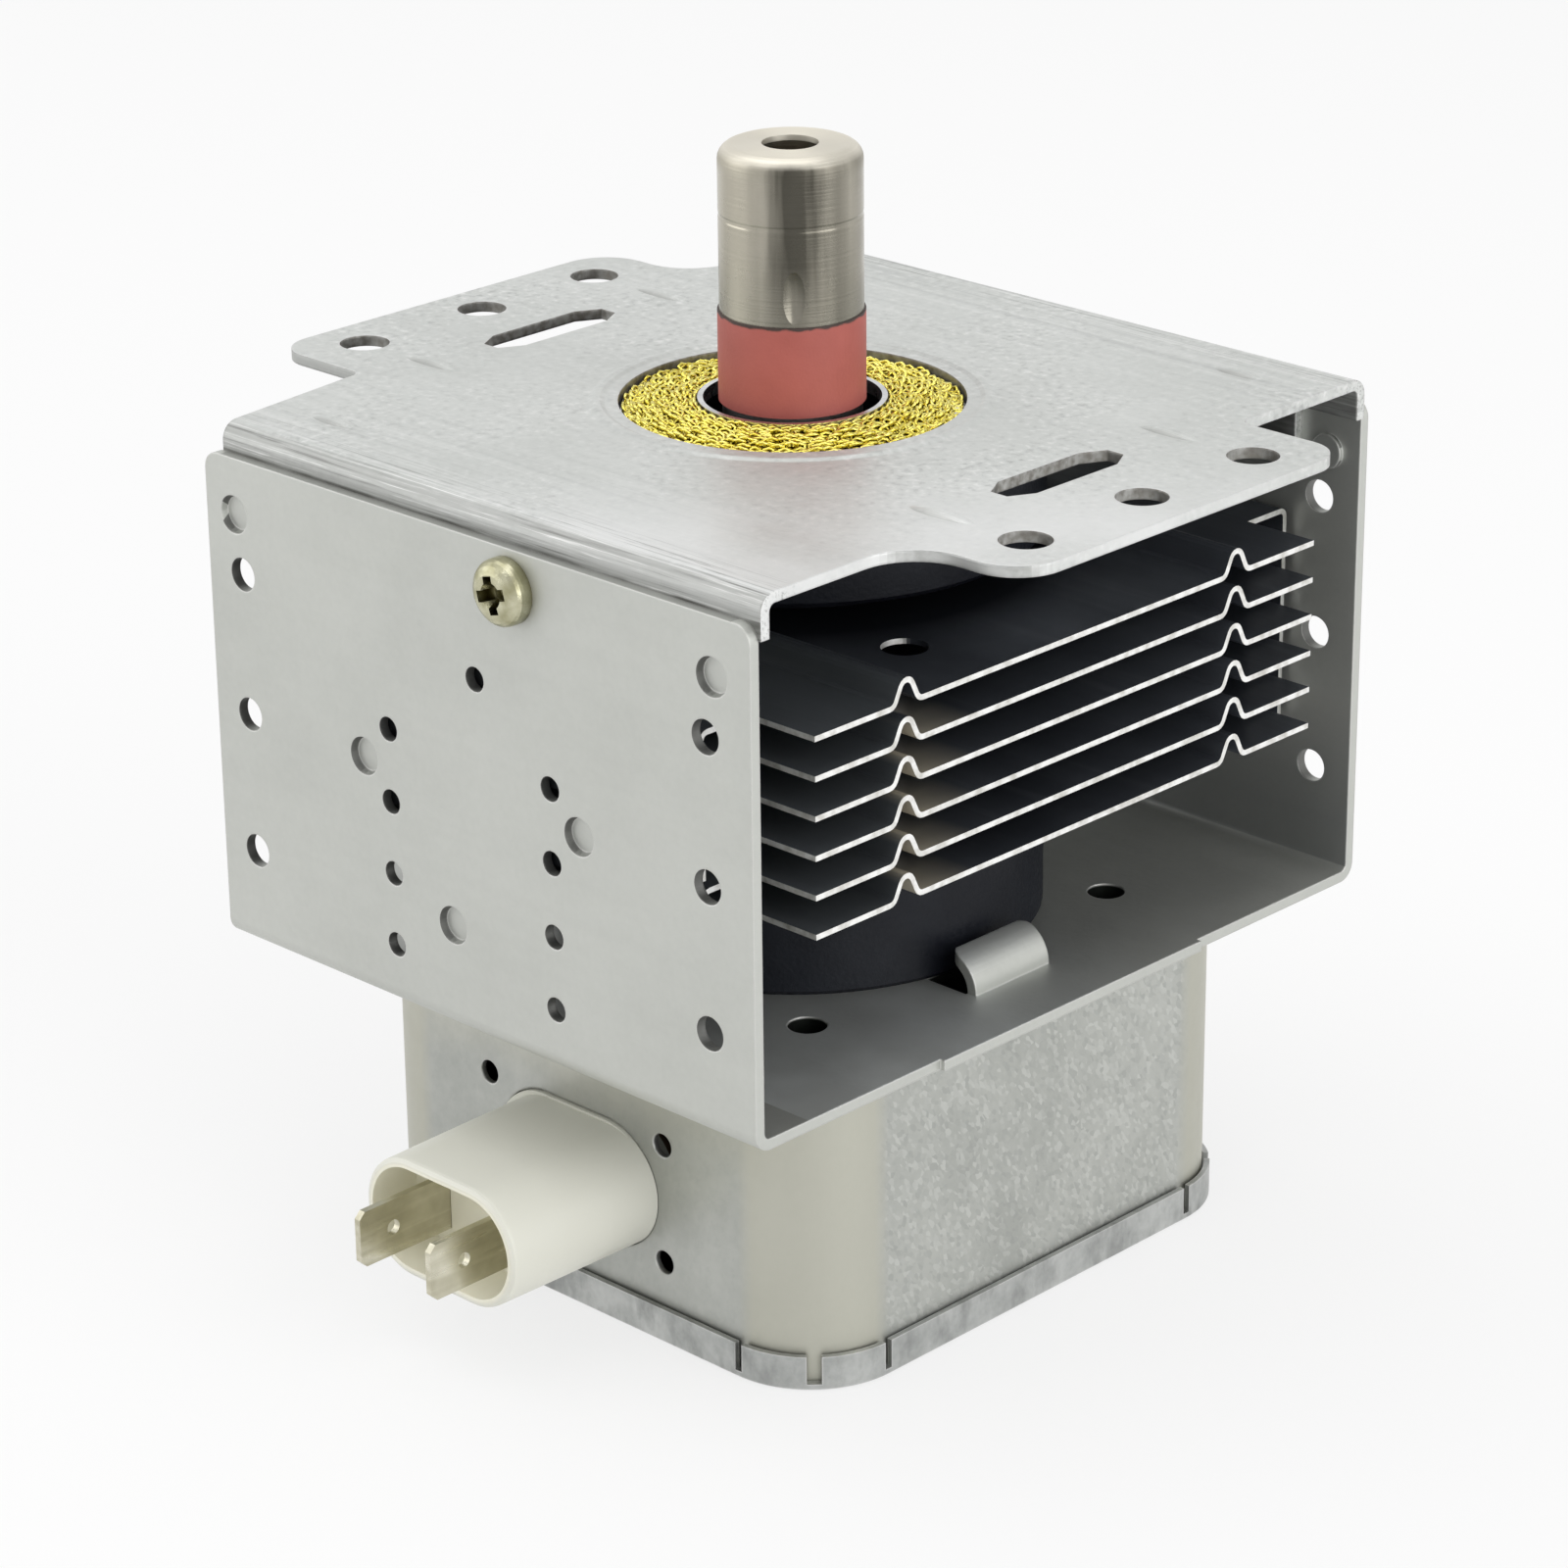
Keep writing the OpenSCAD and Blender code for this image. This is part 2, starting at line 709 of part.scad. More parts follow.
// Pan-head screws through the walls into the plate's flanges
module wall_screw() {
    head_r = screw_head_d / 2;
    head_h = 0.34 * screw_head_d;
    side_h = 0.4 * head_h;
    face_r = 0.45 * head_r;
    shank_l = 2 * sheet_t + 2.5;
    wing_t = 0.17 * screw_head_d;
    wing_l = 0.56 * screw_head_d;
    difference() {
        rotate_extrude()
            polygon(concat(
                [[0, 0], [head_r, 0]],
                [
                    for (a = [0:15:90])
                        [face_r + (head_r - face_r) * cos(a), side_h + (head_h - side_h) * sin(a)]
                ],
                [[0, head_h]]
            ));
        for (turn = [15, 105]) {
            rotate([0, 0, turn])
                translate([-wing_l / 2, -wing_t / 2, 0.4 * head_h])
                    cube([wing_l, wing_t, head_h]);
        }
        translate([0, 0, 0.2 * head_h])
            cylinder(r1 = 0.6, r2 = 1.4, h = 0.8 * head_h + eps);
    }
    translate([0, 0, -shank_l])
        cylinder(d = screw_d, h = shank_l + eps);
}

module wall_screws() {
    color("darkkhaki")
    for (turn = [0, 180]) {
        rotate([0, 0, turn])
            translate([screw_x, -yoke_d / 2, -screw_drop])
                rotate([90, 0, 0])
                    wall_screw();
    }
}

// Cooling fins: sheet with two pressed ridges, and side tabs folded down along the walls

// Half of a fin's section, from the middle out to the folded tab; lift is 0 below the sheet and fin_t above.
// A ridge is two rounded feet, two straight flanks and a rounded crest.
function ridge_half(lift) =
    let (
        crest_r = ridge_r + lift,
        foot_r = ridge_r + fin_t - lift,
        foot_z = ridge_r + fin_t,
        crest_z = ridge_h - ridge_r,
        reach = [ridge_w / 2, crest_z - foot_z],
        slope = atan2(reach[1], reach[0]) + asin((crest_r + foot_r) / norm(reach)),
        mid = ridge_gap / 2
    )
    concat(
        [
            for (i = [0:3]) let (a = slope * i / 3)
                [mid - reach[0] + foot_r * sin(a), foot_z - foot_r * cos(a)]
        ],
        [
            for (i = [-3:3]) let (a = slope * i / 3)
                [mid + crest_r * sin(a), crest_z + crest_r * cos(a)]
        ],
        [
            for (i = [3:-1:0]) let (a = slope * i / 3)
                [mid + reach[0] - foot_r * sin(a), foot_z - foot_r * cos(a)]
        ]
    );

function fin_tab_half(lift) =
    let (
        tab_y = wall_in_y - dimple_h - free_gap - fin_t,
        turn_r = 0.5 + lift
    )
    [
        for (a = [90:-22.5:0])
            [tab_y - 0.5 + turn_r * cos(a), -0.5 + turn_r * sin(a)],
        [tab_y - 0.5 + turn_r, fin_t - fin_tab_h]
    ];

function mirrored(points) = [for (i = [len(points) - 1:-1:0]) [-points[i][0], points[i][1]]];

function reversed(points) = [for (i = [len(points) - 1:-1:0]) points[i]];

module fin(index) {
    upper = concat(ridge_half(fin_t), fin_tab_half(fin_t));
    lower = concat(ridge_half(0), fin_tab_half(0));
    section = concat(mirrored(upper), upper, reversed(lower), reversed(mirrored(lower)));
    bore_r = anode_r + seat_gap;
    half_w = wall_in_y;
    fin_z = upper_magnet_z - fin_drop - index * fin_pitch - fin_t / 2;
    translate([0, 0, fin_z])
    difference() {
        union() {
            rotate([90, 0, 90])
                linear_extrude(height = fin_l, center = true)
                    polygon(section);
            translate([0, 0, fin_t - eps])
                cylinder(r = bore_r + fin_t, h = collar_h + eps);
        }
        translate([0, 0, -1])
            cylinder(r = bore_r, h = collar_h + 3);
        for (side = [-1, 1], end = [-1, 1]) {
            translate([
                end > 0 ? fin_mid_l / 2 : -fin_l / 2 - 1,
                side > 0 ? fin_end_w / 2 : -half_w,
                -fin_tab_h
            ])
                cube([(fin_l - fin_mid_l) / 2 + 1, half_w - fin_end_w / 2, fin_tab_h + 1]);
        }
        for (turn = [0, 180]) {
            rotate([0, 0, turn])
                translate([fin_mid_l / 2 - 1.2, -anode_r + 4.3, -1])
                    cylinder(d = fin_hole_d, h = 3);
        }
    }
}

module fin_1() { color("silver") fin(0); }
module fin_2() { color("silver") fin(1); }
module fin_3() { color("silver") fin(2); }
module fin_4() { color("silver") fin(3); }
module fin_5() { color("silver") fin(4); }
module fin_6() { color("silver") fin(5); }

// Ferrite rings
module magnet(z) {
    chamfer = 0.6;
    translate([0, 0, z])
        rotate_extrude()
            polygon([
                [magnet_bore / 2, 0], [magnet_d / 2 - chamfer, 0], [magnet_d / 2, chamfer],
                [magnet_d / 2, magnet_h - chamfer], [magnet_d / 2 - chamfer, magnet_h],
                [magnet_bore / 2, magnet_h]
            ]);
}

module upper_magnet() { color("darkslategray") magnet(upper_magnet_z); }
module lower_magnet() { color("darkslategray") magnet(base_z); }

// Anode: copper cylinder, radial vanes and the strap rings that lie on them
module anode_cylinder() {
    color("peru")
    translate([0, 0, anode_bottom_z])
        difference() {
            cylinder(r = anode_r, h = anode_h);
            translate([0, 0, -eps])
                cylinder(r = anode_bore_r, h = anode_h + 2 * eps);
        }
}

module anode_vanes() {
    color("peru")
    translate([0, 0, anode_mid_z - vane_h / 2])
        for (i = [0:vane_count - 1]) {
            rotate([0, 0, i * 360 / vane_count])
                intersection() {
                    translate([vane_tip_d / 2, -vane_t / 2, 0])
                        cube([anode_r, vane_t, vane_h]);
                    cylinder(r = anode_bore_r - seat_gap, h = vane_h);
                }
        }
}

module strap_rings() {
    color("peru")
    for (z = [anode_mid_z + vane_h / 2, anode_mid_z - vane_h / 2 - strap_t], r = [strap_r, strap_r + 1.4]) {
        translate([0, 0, z])
            difference() {
                cylinder(r = r + 0.8, h = strap_t);
                translate([0, 0, -eps])
                    cylinder(r = r, h = strap_t + 2 * eps);
            }
    }
}

// Pole pieces: dished iron plates whose tips face each other across the vanes
module pole_piece() {
    rotate_extrude()
        polygon([
            [anode_r, 0], [anode_r, pole_t], [sleeve_r, pole_t],
            [pole_bore_r + 1.9, 1.4 - tip_depth], [pole_bore_r, 1.4 - tip_depth],
            [pole_bore_r, -tip_depth], [pole_bore_r + 2.9, -tip_depth], [sleeve_r + 1.2, 0]
        ]);
}

module upper_pole_piece() {
    color("dimgray")
    translate([0, 0, anode_top_z])
        difference() {
            pole_piece();
            translate([feed_r - 1.2, 0, -anode_h / 2])
                cylinder(r = 2.2, h = anode_h);
        }
}

module lower_pole_piece() {
    color("dimgray")
    translate([0, 0, anode_bottom_z])
        mirror([0, 0, 1])
            pole_piece();
}

// Output side of the vacuum tube
module upper_seal_sleeve() {
    in_r = sleeve_r - sleeve_t;
    neck_z = -4.5;
    color("silver")
    rotate_extrude()
        polygon([
            [in_r, upper_magnet_z], [sleeve_foot_r, upper_magnet_z],
            [sleeve_foot_r, upper_magnet_z + sleeve_t],
            [sleeve_r, upper_magnet_z + sleeve_t], [sleeve_r, neck_z - 1.6], [neck_r, neck_z],
            [neck_r, ceramic_z], [ceramic_bore_r, ceramic_z], [ceramic_bore_r, ceramic_z - sleeve_t],
            [neck_r - sleeve_t, ceramic_z - sleeve_t], [neck_r - sleeve_t, neck_z - 0.3], [in_r, neck_z - 1.9]
        ]);
}

module output_ceramic() {
    color("indianred")
    translate([0, 0, ceramic_z])
        difference() {
            cylinder(d = ceramic_d, h = ceramic_h);
            translate([0, 0, -eps])
                cylinder(r = ceramic_bore_r, h = ceramic_h + 2 * eps);
        }
}

module exhaust_seal() {
    seal_r = cap_in_r - free_gap;
    roof_t = 0.7;
    color("silver")
    translate([0, 0, ceramic_top_z])
        rotate_extrude()
            polygon([
                [seal_r - 0.7, 0], [seal_r, 0], [seal_r, exhaust_h + roof_t],
                [tube_r + seat_gap, exhaust_h + roof_t], [tube_r + seat_gap, exhaust_h],
                [seal_r - 0.7, exhaust_h]
            ]);
}

// Copper tube through the exhaust seal, pinched flat at its top
module exhaust_tube() {
    tube_l = pinch_z - exhaust_roof_z + 3;
    pinch_h = 3.4;
    color("peru")
    translate([0, 0, exhaust_roof_z - 2])
        difference() {
            cylinder(r = tube_r, h = tube_l + 2);
            translate([0, 0, -eps])
                cylinder(r = tube_bore_r, h = tube_l + 2 - pinch_h);
            for (side = [0, 180]) {
                rotate([0, 0, side])
                    translate([-2 * tube_r, 0, 0])
                        rotate([90, 0, 90])
                            linear_extrude(height = 4 * tube_r)
                                polygon([
                                    [0.4, tube_l + 2.1], [0.4, tube_l + 0.6],
                                    [tube_r + eps, tube_l + 2 - pinch_h],
                                    [2 * tube_r, tube_l + 2 - pinch_h], [2 * tube_r, tube_l + 2.1]
                                ]);
            }
        }
}

// Copper lead from one vane, through the upper pole piece and up the ceramic into the exhaust tube
module antenna_lead() {
    vane_top_z = anode_mid_z + vane_h / 2;
    points = [
        [feed_r, 0, vane_top_z], [feed_r, 0, vane_top_z + 0.8],
        [0, 0, exhaust_roof_z - 3], [0, 0, exhaust_roof_z + 4]
    ];
    color("peru")
    wire(points, [for (p = points) [0, 1, 0]], 0.9);
}

module antenna_cap() {
    dent_r = 2.1;
    dent_l = 7.4;
    dent_depth = 0.7 * cap_t;
    groove_z = 0.565 * cap_h;
    groove_depth = 0.05;
    rim = cap_d / 2;
    shoulder_z = cap_h - cap_shoulder_r;
    color("tan")
    translate([0, 0, ceramic_top_z])
        difference() {
            rotate_extrude()
                polygon(concat(
                    [[cap_in_r, 0], [rim, 0], [rim, groove_z]],
                    [for (step = [0.2, 0.5]) [rim - groove_depth, groove_z + step]],
                    [[rim, groove_z + 0.7]],
                    [
                        for (a = [0:15:90])
                            [rim - cap_shoulder_r * (1 - cos(a)), shoulder_z + cap_shoulder_r * sin(a)]
                    ],
                    [[cap_hole_d / 2, cap_h], [cap_hole_d / 2, cap_h - cap_t]],
                    [
                        for (a = [90:-15:0])
                            [
                                rim - cap_shoulder_r + (cap_shoulder_r - cap_t) * cos(a),
                                shoulder_z + (cap_shoulder_r - cap_t) * sin(a)
                            ]
                    ]
                ));
            rotate([0, 0, -44])
                translate([rim + dent_l + dent_r - dent_depth, 0, 0.18 * cap_h])
                    rotate([90, 0, 0])
                        rotate_extrude()
                            translate([dent_l, 0])
                                circle(r = dent_r);
        }
}

// Ring and wire mesh that close the gap to the oven's waveguide
module gasket_ring() {
    color("gainsboro")
    rotate_extrude()
        polygon([
            [ring_r, plate_under_z], [gasket_out_r, plate_under_z],
            [gasket_out_r, plate_under_z + ring_foot_t],
            [ring_r + ring_t, plate_under_z + ring_foot_t], [ring_r + ring_t, ring_z], [ring_r, ring_z]
        ]);
}

module mesh_gasket() {
    foot_z = plate_under_z + ring_foot_t;
    in_r = ring_r + ring_t + seat_gap;
    width = gasket_out_r - in_r;
    crown = -foot_z + ring_z;
    color("gold")
    rotate_extrude()
        polygon(concat(
            [[in_r, foot_z], [gasket_out_r, foot_z]],
            [
                for (t = [0:0.125:1])
                    [gasket_out_r - t * width, foot_z + crown * (0.15 + 0.85 * sin(90 * min(1, 1.6 * t)))]
            ]
        ));
}

// Cathode: a bare helix between two end hats, fed by two leads from the stem
module cathode_filament() {
    turns = 9;
    helix_r = 1.7;
    strand_r = 0.3;
    steps = 10 * turns;
    rise = 2 * (hat_z - strand_r - seat_gap);
    points = [
        for (i = [0:steps])
            [
                helix_r * cos(360 * turns * i / steps),
                helix_r * sin(360 * turns * i / steps),
                anode_mid_z - rise / 2 + rise * i / steps
            ]
    ];
    color("slategray")
    wire(points, [for (p = points) [0, 0, 1]], strand_r, 6);
}

module end_hat() {
    rotate_extrude()
        polygon([
            [0, 0], [hat_r - 0.4, 0], [hat_r, 0.4], [hat_r, hat_t - 0.4], [hat_r - 0.4, hat_t], [0, hat_t]
        ]);
}

module upper_end_hat() {
    color("slategray")
    translate([0, 0, anode_mid_z + hat_z])
        end_hat();
}

module lower_end_hat() {
    color("slategray")
    translate([0, 0, anode_mid_z - hat_z - hat_t])
        difference() {
            end_hat();
            translate([0, 0, -eps])
                cylinder(r = lead_r + free_gap, h = hat_t + 2 * eps);
        }
}

module cathode_lead(x_top, x_bottom, top_z) {
    points = [
        [x_top, 0, top_z], [x_top, 0, lower_magnet_z - lead_straight],
        [x_bottom, 0, lower_magnet_z - lead_straight - lead_jog], [x_bottom, 0, stem_bottom_z - lead_end]
    ];
    wire(points, [for (p = points) [0, 1, 0]], lead_r);
}

module centre_lead() {
    color("slategray")
    cathode_lead(0, -lead_x, anode_mid_z + hat_z);
}

module side_lead() {
    color("slategray")
    cathode_lead(hat_r - lead_r - 0.5, lead_x, anode_mid_z - hat_z - hat_t);
}

// Stem side of the vacuum tube
module lower_seal_sleeve() {
    in_r = sleeve_r - sleeve_t;
    color("silver")
    rotate_extrude()
        polygon([
            [in_r, lower_magnet_z], [sleeve_foot_r, lower_magnet_z],
            [sleeve_foot_r, lower_magnet_z - sleeve_t],
            [sleeve_r, lower_magnet_z - sleeve_t], [sleeve_r, stem_top_z], [in_r - 1.8, stem_top_z],
            [in_r - 1.8, stem_top_z + sleeve_t], [in_r, stem_top_z + sleeve_t]
        ]);
}

module stem_ceramic() {
    color("mistyrose")
    translate([0, 0, stem_bottom_z])
        difference() {
            cylinder(r = stem_r, h = stem_h);
            for (side = [-1, 1]) {
                translate([side * lead_x, 0, -eps])
                    cylinder(r = lead_r + free_gap, h = stem_h + 2 * eps);
            }
        }
}

// A strip under the stem ceramic that carries a lead's end and hangs down to the choke's wire
module stem_terminal(side) {
    pad_in = lead_x - lead_r - 1.2;
    blade_bottom_z = coil_z + coil_r - 2;
    mirror([side < 0 ? 1 : 0, 0, 0])
        difference() {
            union() {
                translate([pad_in, -stem_blade_w / 2, stem_bottom_z - stem_blade_t])
                    cube([stem_blade_x + stem_blade_t - pad_in, stem_blade_w, stem_blade_t]);
                translate([stem_blade_x, -stem_blade_w / 2, blade_bottom_z])
                    cube([stem_blade_t, stem_blade_w, stem_bottom_z - blade_bottom_z]);
            }
            translate([lead_x, 0, stem_bottom_z - 2 * stem_blade_t])
                cylinder(r = lead_r + slip_gap, h = 3 * stem_blade_t);
        }
}

module left_stem_terminal() { color("silver") stem_terminal(-1); }
module right_stem_terminal() { color("silver") stem_terminal(1); }

// Filter box: a drawn cup that hangs from the base's burrs, closed below by a lid
module filter_box() {
    cut_w = conn_w + 2 * conn_collar + 2 * slip_gap;
    cut_h = conn_h + 2 * conn_collar + 2 * slip_gap;
    color("darkgray")
    difference() {
        translate([0, box_shift, box_bottom_z])
            difference() {
                rounded_block(box_w, box_d, box_h, box_corner_r);
                translate([0, 0, -box_t])
                    rounded_block(box_w - 2 * box_t, box_d - 2 * box_t, box_h, box_corner_r - box_t);
            }
        translate([0, 0, roof_z - 2 * box_t])
            cylinder(r = stem_hole_r, h = 3 * box_t);
        at_burrs()
            translate([0, 0, roof_z - 2 * box_t])
                cylinder(r = burr_d / 2 + 0.6 + slip_gap, h = 3 * box_t);
        translate([cut_x, 0, conn_z])
            stadium_bar(cut_w, cut_h, box_front_y - 1, box_front_y + box_t + 1);
        for (side = [-1, 1], level = [-1, 1]) {
            wall_hole(
                side * side_hole_x / 2 + side_hole_shift,
                conn_z + level * side_hole_z / 2,
                side_hole_d,
                box_front_y
            );
        }
    }
}

// The lid's skirt is cut into strips, three cuts at each corner, so that it folds up round the box
module box_lid() {
    out_w = box_w + 2 * (lid_t + lid_gap);
    out_d = box_d + 2 * (lid_t + lid_gap);
    out_r = box_corner_r + lid_t + lid_gap;
    cut_r = out_r - 2 * lid_t;
    color("darkgray")
    translate([0, box_shift, box_bottom_z - lid_t])
        difference() {
            rounded_block(out_w, out_d, lid_t + skirt_h, out_r);
            translate([0, 0, lid_t])
                rounded_block(out_w - 2 * lid_t, out_d - 2 * lid_t, skirt_h + 1, out_r - lid_t);
            for (x = [-1, 1], y = [-1, 1]) {
                translate([x * (out_w / 2 - out_r), y * (out_d / 2 - out_r), lid_t])
                    rotate([0, 0, atan2(y, x)]) {
                        translate([cut_r, -0.8, 0])
                            cube([4 * lid_t, 1.6, skirt_h + 1]);
                        for (turn = [-45, 45]) {
                            rotate([0, 0, turn])
                                translate([cut_r, -0.45, 0])
                                    cube([4 * lid_t, 0.9, skirt_h + 1]);
                        }
                    }
            }
        }
}

// Connector: moulded shell through the box wall, capacitor block behind it, two blades through both
module blade_slots(y0, y1) {
    for (side = [-1, 1]) {
        translate([side * terminal_x - tab_t / 2 - seat_gap, y0, tab_z - tab_w / 2 - seat_gap])
            cube([tab_t + 2 * seat_gap, y1 - y0, tab_w + 2 * seat_gap]);
    }
}

// The shell has a little draft and a rounded rim, a collar in the box's cut-out and a flange behind it
module connector_shell() {
    mouth_y = box_front_y - conn_reach;
    floor_y = box_front_y - conn_floor;
    core_w = conn_w - conn_h;
    out_r = conn_h / 2;
    in_r = out_r - conn_wall;
    collar_w = conn_w + 2 * conn_collar;
    collar_z = conn_h + 2 * conn_collar;
    color("ivory")
    difference() {
        translate([0, 0, conn_z]) {
            stadium_wall(core_w, [
                [in_r, mouth_y], [out_r - conn_rim, mouth_y],
                [out_r - 0.15 * conn_rim, mouth_y + 0.5 * conn_rim],
                [out_r, mouth_y + 1.2 * conn_rim], [out_r + conn_draft, box_front_y - seat_gap],
                [in_r, box_front_y - seat_gap]
            ]);
            stadium_bar(core_w + 2 * in_r + 0.6, 2 * in_r + 0.6, floor_y, block_y);
            translate([cut_x, 0, 0]) {
                stadium_bar(collar_w, collar_z, box_front_y - 0.4, block_y);
                stadium_bar(
                    collar_w + 2 * conn_flange,
                    collar_z + 2 * conn_flange,
                    box_front_y + box_t,
                    block_y
                );
            }
        }
        blade_slots(floor_y - 1, block_y + 1);
    }
}

module capacitor_block() {
    color("tan")
    difference() {
        translate([0, 0, conn_z])
            stadium_bar(conn_w - 2, conn_h - 2, block_y, block_y + block_l);
        blade_slots(block_y - 1, block_y + block_l + 1);
    }
}

module blade_terminal(side) {
    tip_y = box_front_y - conn_reach - tab_reach;
    end_y = -coil_l + 2;
    nose = 0.75;
    translate([side * terminal_x - tab_t / 2, 0, tab_z])
        rotate([90, 0, 90])
            difference() {
                linear_extrude(height = tab_t)
                    polygon([
                        [tip_y, -tab_w / 2 + nose], [tip_y + nose, -tab_w / 2], [end_y, -tab_w / 2],
                        [end_y, tab_w / 2], [tip_y + nose, tab_w / 2], [tip_y, tab_w / 2 - nose]
                    ]);
                translate([tip_y + 4.6, 0, -1])
                    cylinder(d = 1.7, h = tab_t + 2);
            }
}

module left_blade_terminal() { color("khaki") blade_terminal(-1); }
module right_blade_terminal() { color("khaki") blade_terminal(1); }

// Chokes: wire wound on ferrite cores, from each blade terminal to its stem terminal
module choke_coil(side) {
    steps = 12 * coil_turns;
    front_x = terminal_x + tab_t / 2;
    back_x = stem_blade_x + stem_blade_t;
    turns = [
        for (i = [0:steps])
            let (a = -90 - 360 * coil_turns * i / steps)
            [choke_x + coil_r * cos(a), -coil_l + coil_l * i / steps, coil_z + coil_r * sin(a)]
    ];
    points = concat([[front_x, -coil_l, coil_z - coil_r]], turns, [[back_x, 0, coil_z + coil_r]]);
    ups = [for (p = points) [0, 1, 0]];
    mirror([side < 0 ? 1 : 0, 0, 0])
        wire(points, ups, wire_r, 6);
}

module choke_core(side) {
    translate([side * choke_x, -coil_l / 2, coil_z])
        rotate([90, 0, 0])
            cylinder(d = core_d, h = core_l, center = true);
}

module left_choke_coil() { color("chocolate") choke_coil(-1); }
module right_choke_coil() { color("chocolate") choke_coil(1); }
module left_choke_core() { color("darkslategray") choke_core(-1); }
module right_choke_core() { color("darkslategray") choke_core(1); }

top_plate();
lower_yoke();
wall_screws();
fin_1();
fin_2();
fin_3();
fin_4();
fin_5();
fin_6();
upper_magnet();
lower_magnet();
anode_cylinder();
anode_vanes();
strap_rings();
upper_pole_piece();
lower_pole_piece();
upper_seal_sleeve();
output_ceramic();
exhaust_seal();
exhaust_tube();
antenna_lead();
antenna_cap();
gasket_ring();
mesh_gasket();
cathode_filament();
upper_end_hat();
lower_end_hat();
centre_lead();
side_lead();
lower_seal_sleeve();
stem_ceramic();
left_stem_terminal();
right_stem_terminal();
filter_box();
box_lid();
connector_shell();
capacitor_block();
left_blade_terminal();
right_blade_terminal();
left_choke_coil();
right_choke_coil();
left_choke_core();
right_choke_core();
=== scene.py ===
import math
import random

import bmesh
import bpy
from mathutils import Euler, Matrix, Vector


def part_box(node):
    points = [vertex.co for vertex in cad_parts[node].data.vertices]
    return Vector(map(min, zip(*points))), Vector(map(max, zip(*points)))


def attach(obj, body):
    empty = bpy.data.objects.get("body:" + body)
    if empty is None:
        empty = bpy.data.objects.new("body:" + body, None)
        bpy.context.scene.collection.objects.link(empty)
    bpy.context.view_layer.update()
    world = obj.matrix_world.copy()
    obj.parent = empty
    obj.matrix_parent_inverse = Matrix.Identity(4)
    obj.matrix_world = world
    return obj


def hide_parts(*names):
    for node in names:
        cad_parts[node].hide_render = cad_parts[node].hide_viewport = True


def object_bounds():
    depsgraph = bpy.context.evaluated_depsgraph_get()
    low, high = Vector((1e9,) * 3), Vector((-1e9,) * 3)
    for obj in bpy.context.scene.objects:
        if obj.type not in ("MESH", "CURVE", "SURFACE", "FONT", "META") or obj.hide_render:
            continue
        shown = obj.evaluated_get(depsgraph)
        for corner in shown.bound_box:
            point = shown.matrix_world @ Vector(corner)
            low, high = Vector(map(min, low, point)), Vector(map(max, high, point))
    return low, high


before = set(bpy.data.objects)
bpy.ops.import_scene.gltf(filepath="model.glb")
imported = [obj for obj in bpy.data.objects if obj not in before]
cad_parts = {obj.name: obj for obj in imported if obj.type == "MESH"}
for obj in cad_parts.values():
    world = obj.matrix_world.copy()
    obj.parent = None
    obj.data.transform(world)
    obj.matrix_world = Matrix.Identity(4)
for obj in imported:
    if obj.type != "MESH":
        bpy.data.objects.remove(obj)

cad_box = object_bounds()

# Studio: a pale floor under the lid, broad soft lamps and a white surround with a dimmer ceiling. The camera
# stands at the photograph's place, looking down on the corner between the screw wall and the open fin side.
EYE_PLACE = (0.35063, -0.36236, 0.16128)
EYE_TILT = 67.8285
EYE_ROLL = 0.5620
EYE_TURN = 43.9803
eye = bpy.data.objects.new("eye", bpy.data.cameras.new("eye"))
eye.data.lens = 114.52
eye.data.sensor_width = 36.0
eye.data.clip_start = 0.01
eye_angles = Euler([math.radians(angle) for angle in (EYE_TILT, EYE_ROLL, EYE_TURN)])
eye.matrix_world = Matrix.LocRotScale(Vector(EYE_PLACE), eye_angles, None)
bpy.context.scene.collection.objects.link(eye)
bpy.context.scene.camera = eye
bpy.context.scene.view_settings.view_transform = "Standard"


def add(tree, kind, inputs=None, **props):
    """A node of that kind; an input is set to its value, or linked where the value is a socket."""
    made = tree.nodes.new(kind)
    for key, value in props.items():
        setattr(made, key, value)
    for key, value in (inputs or {}).items():
        if isinstance(value, bpy.types.NodeSocket):
            tree.links.new(value, made.inputs[key])
        else:
            made.inputs[key].default_value = value
    return made


def math_of(tree, operation, first, second=0.0, third=0.0):
    return add(tree, "ShaderNodeMath", {0: first, 1: second, 2: third}, operation=operation).outputs[0]


def span(tree, value, low, high, to_low=0.0, to_high=1.0):
    """A value's range, taken to another one and held there."""
    inputs = {"Value": value, "From Min": low, "From Max": high, "To Min": to_low, "To Max": to_high}
    return add(tree, "ShaderNodeMapRange", inputs).outputs[0]


def apart(tree, vector):
    """A vector's X, Y and Z."""
    return add(tree, "ShaderNodeSeparateXYZ", {0: vector}).outputs


def seen_directly(tree):
    """1 for a ray from the camera, off a glossy surface or through glass."""
    ray = add(tree, "ShaderNodeLightPath").outputs
    seen = math_of(tree, "MAXIMUM", ray["Is Camera Ray"], ray["Is Glossy Ray"])
    return math_of(tree, "MAXIMUM", seen, ray["Is Transmission Ray"])


WHITE = (1.0, 1.0, 1.0, 1.0)
CEILING_LEVEL = 0.6
SKY_LIGHT_LEVEL = 0.62
surround = bpy.data.worlds.new("surround")
surround.use_nodes = True
sky = surround.node_tree
upward = apart(sky, add(sky, "ShaderNodeTexCoord").outputs["Generated"])["Z"]
shown_level = span(sky, upward, 0.2, 0.75, 1.0, CEILING_LEVEL)
sky_level = span(sky, seen_directly(sky), 0.0, 1.0, SKY_LIGHT_LEVEL, shown_level)
sky.nodes["Background"].inputs["Color"].default_value = WHITE
sky.links.new(sky_level, sky.nodes["Background"].inputs["Strength"])
bpy.context.scene.world = surround

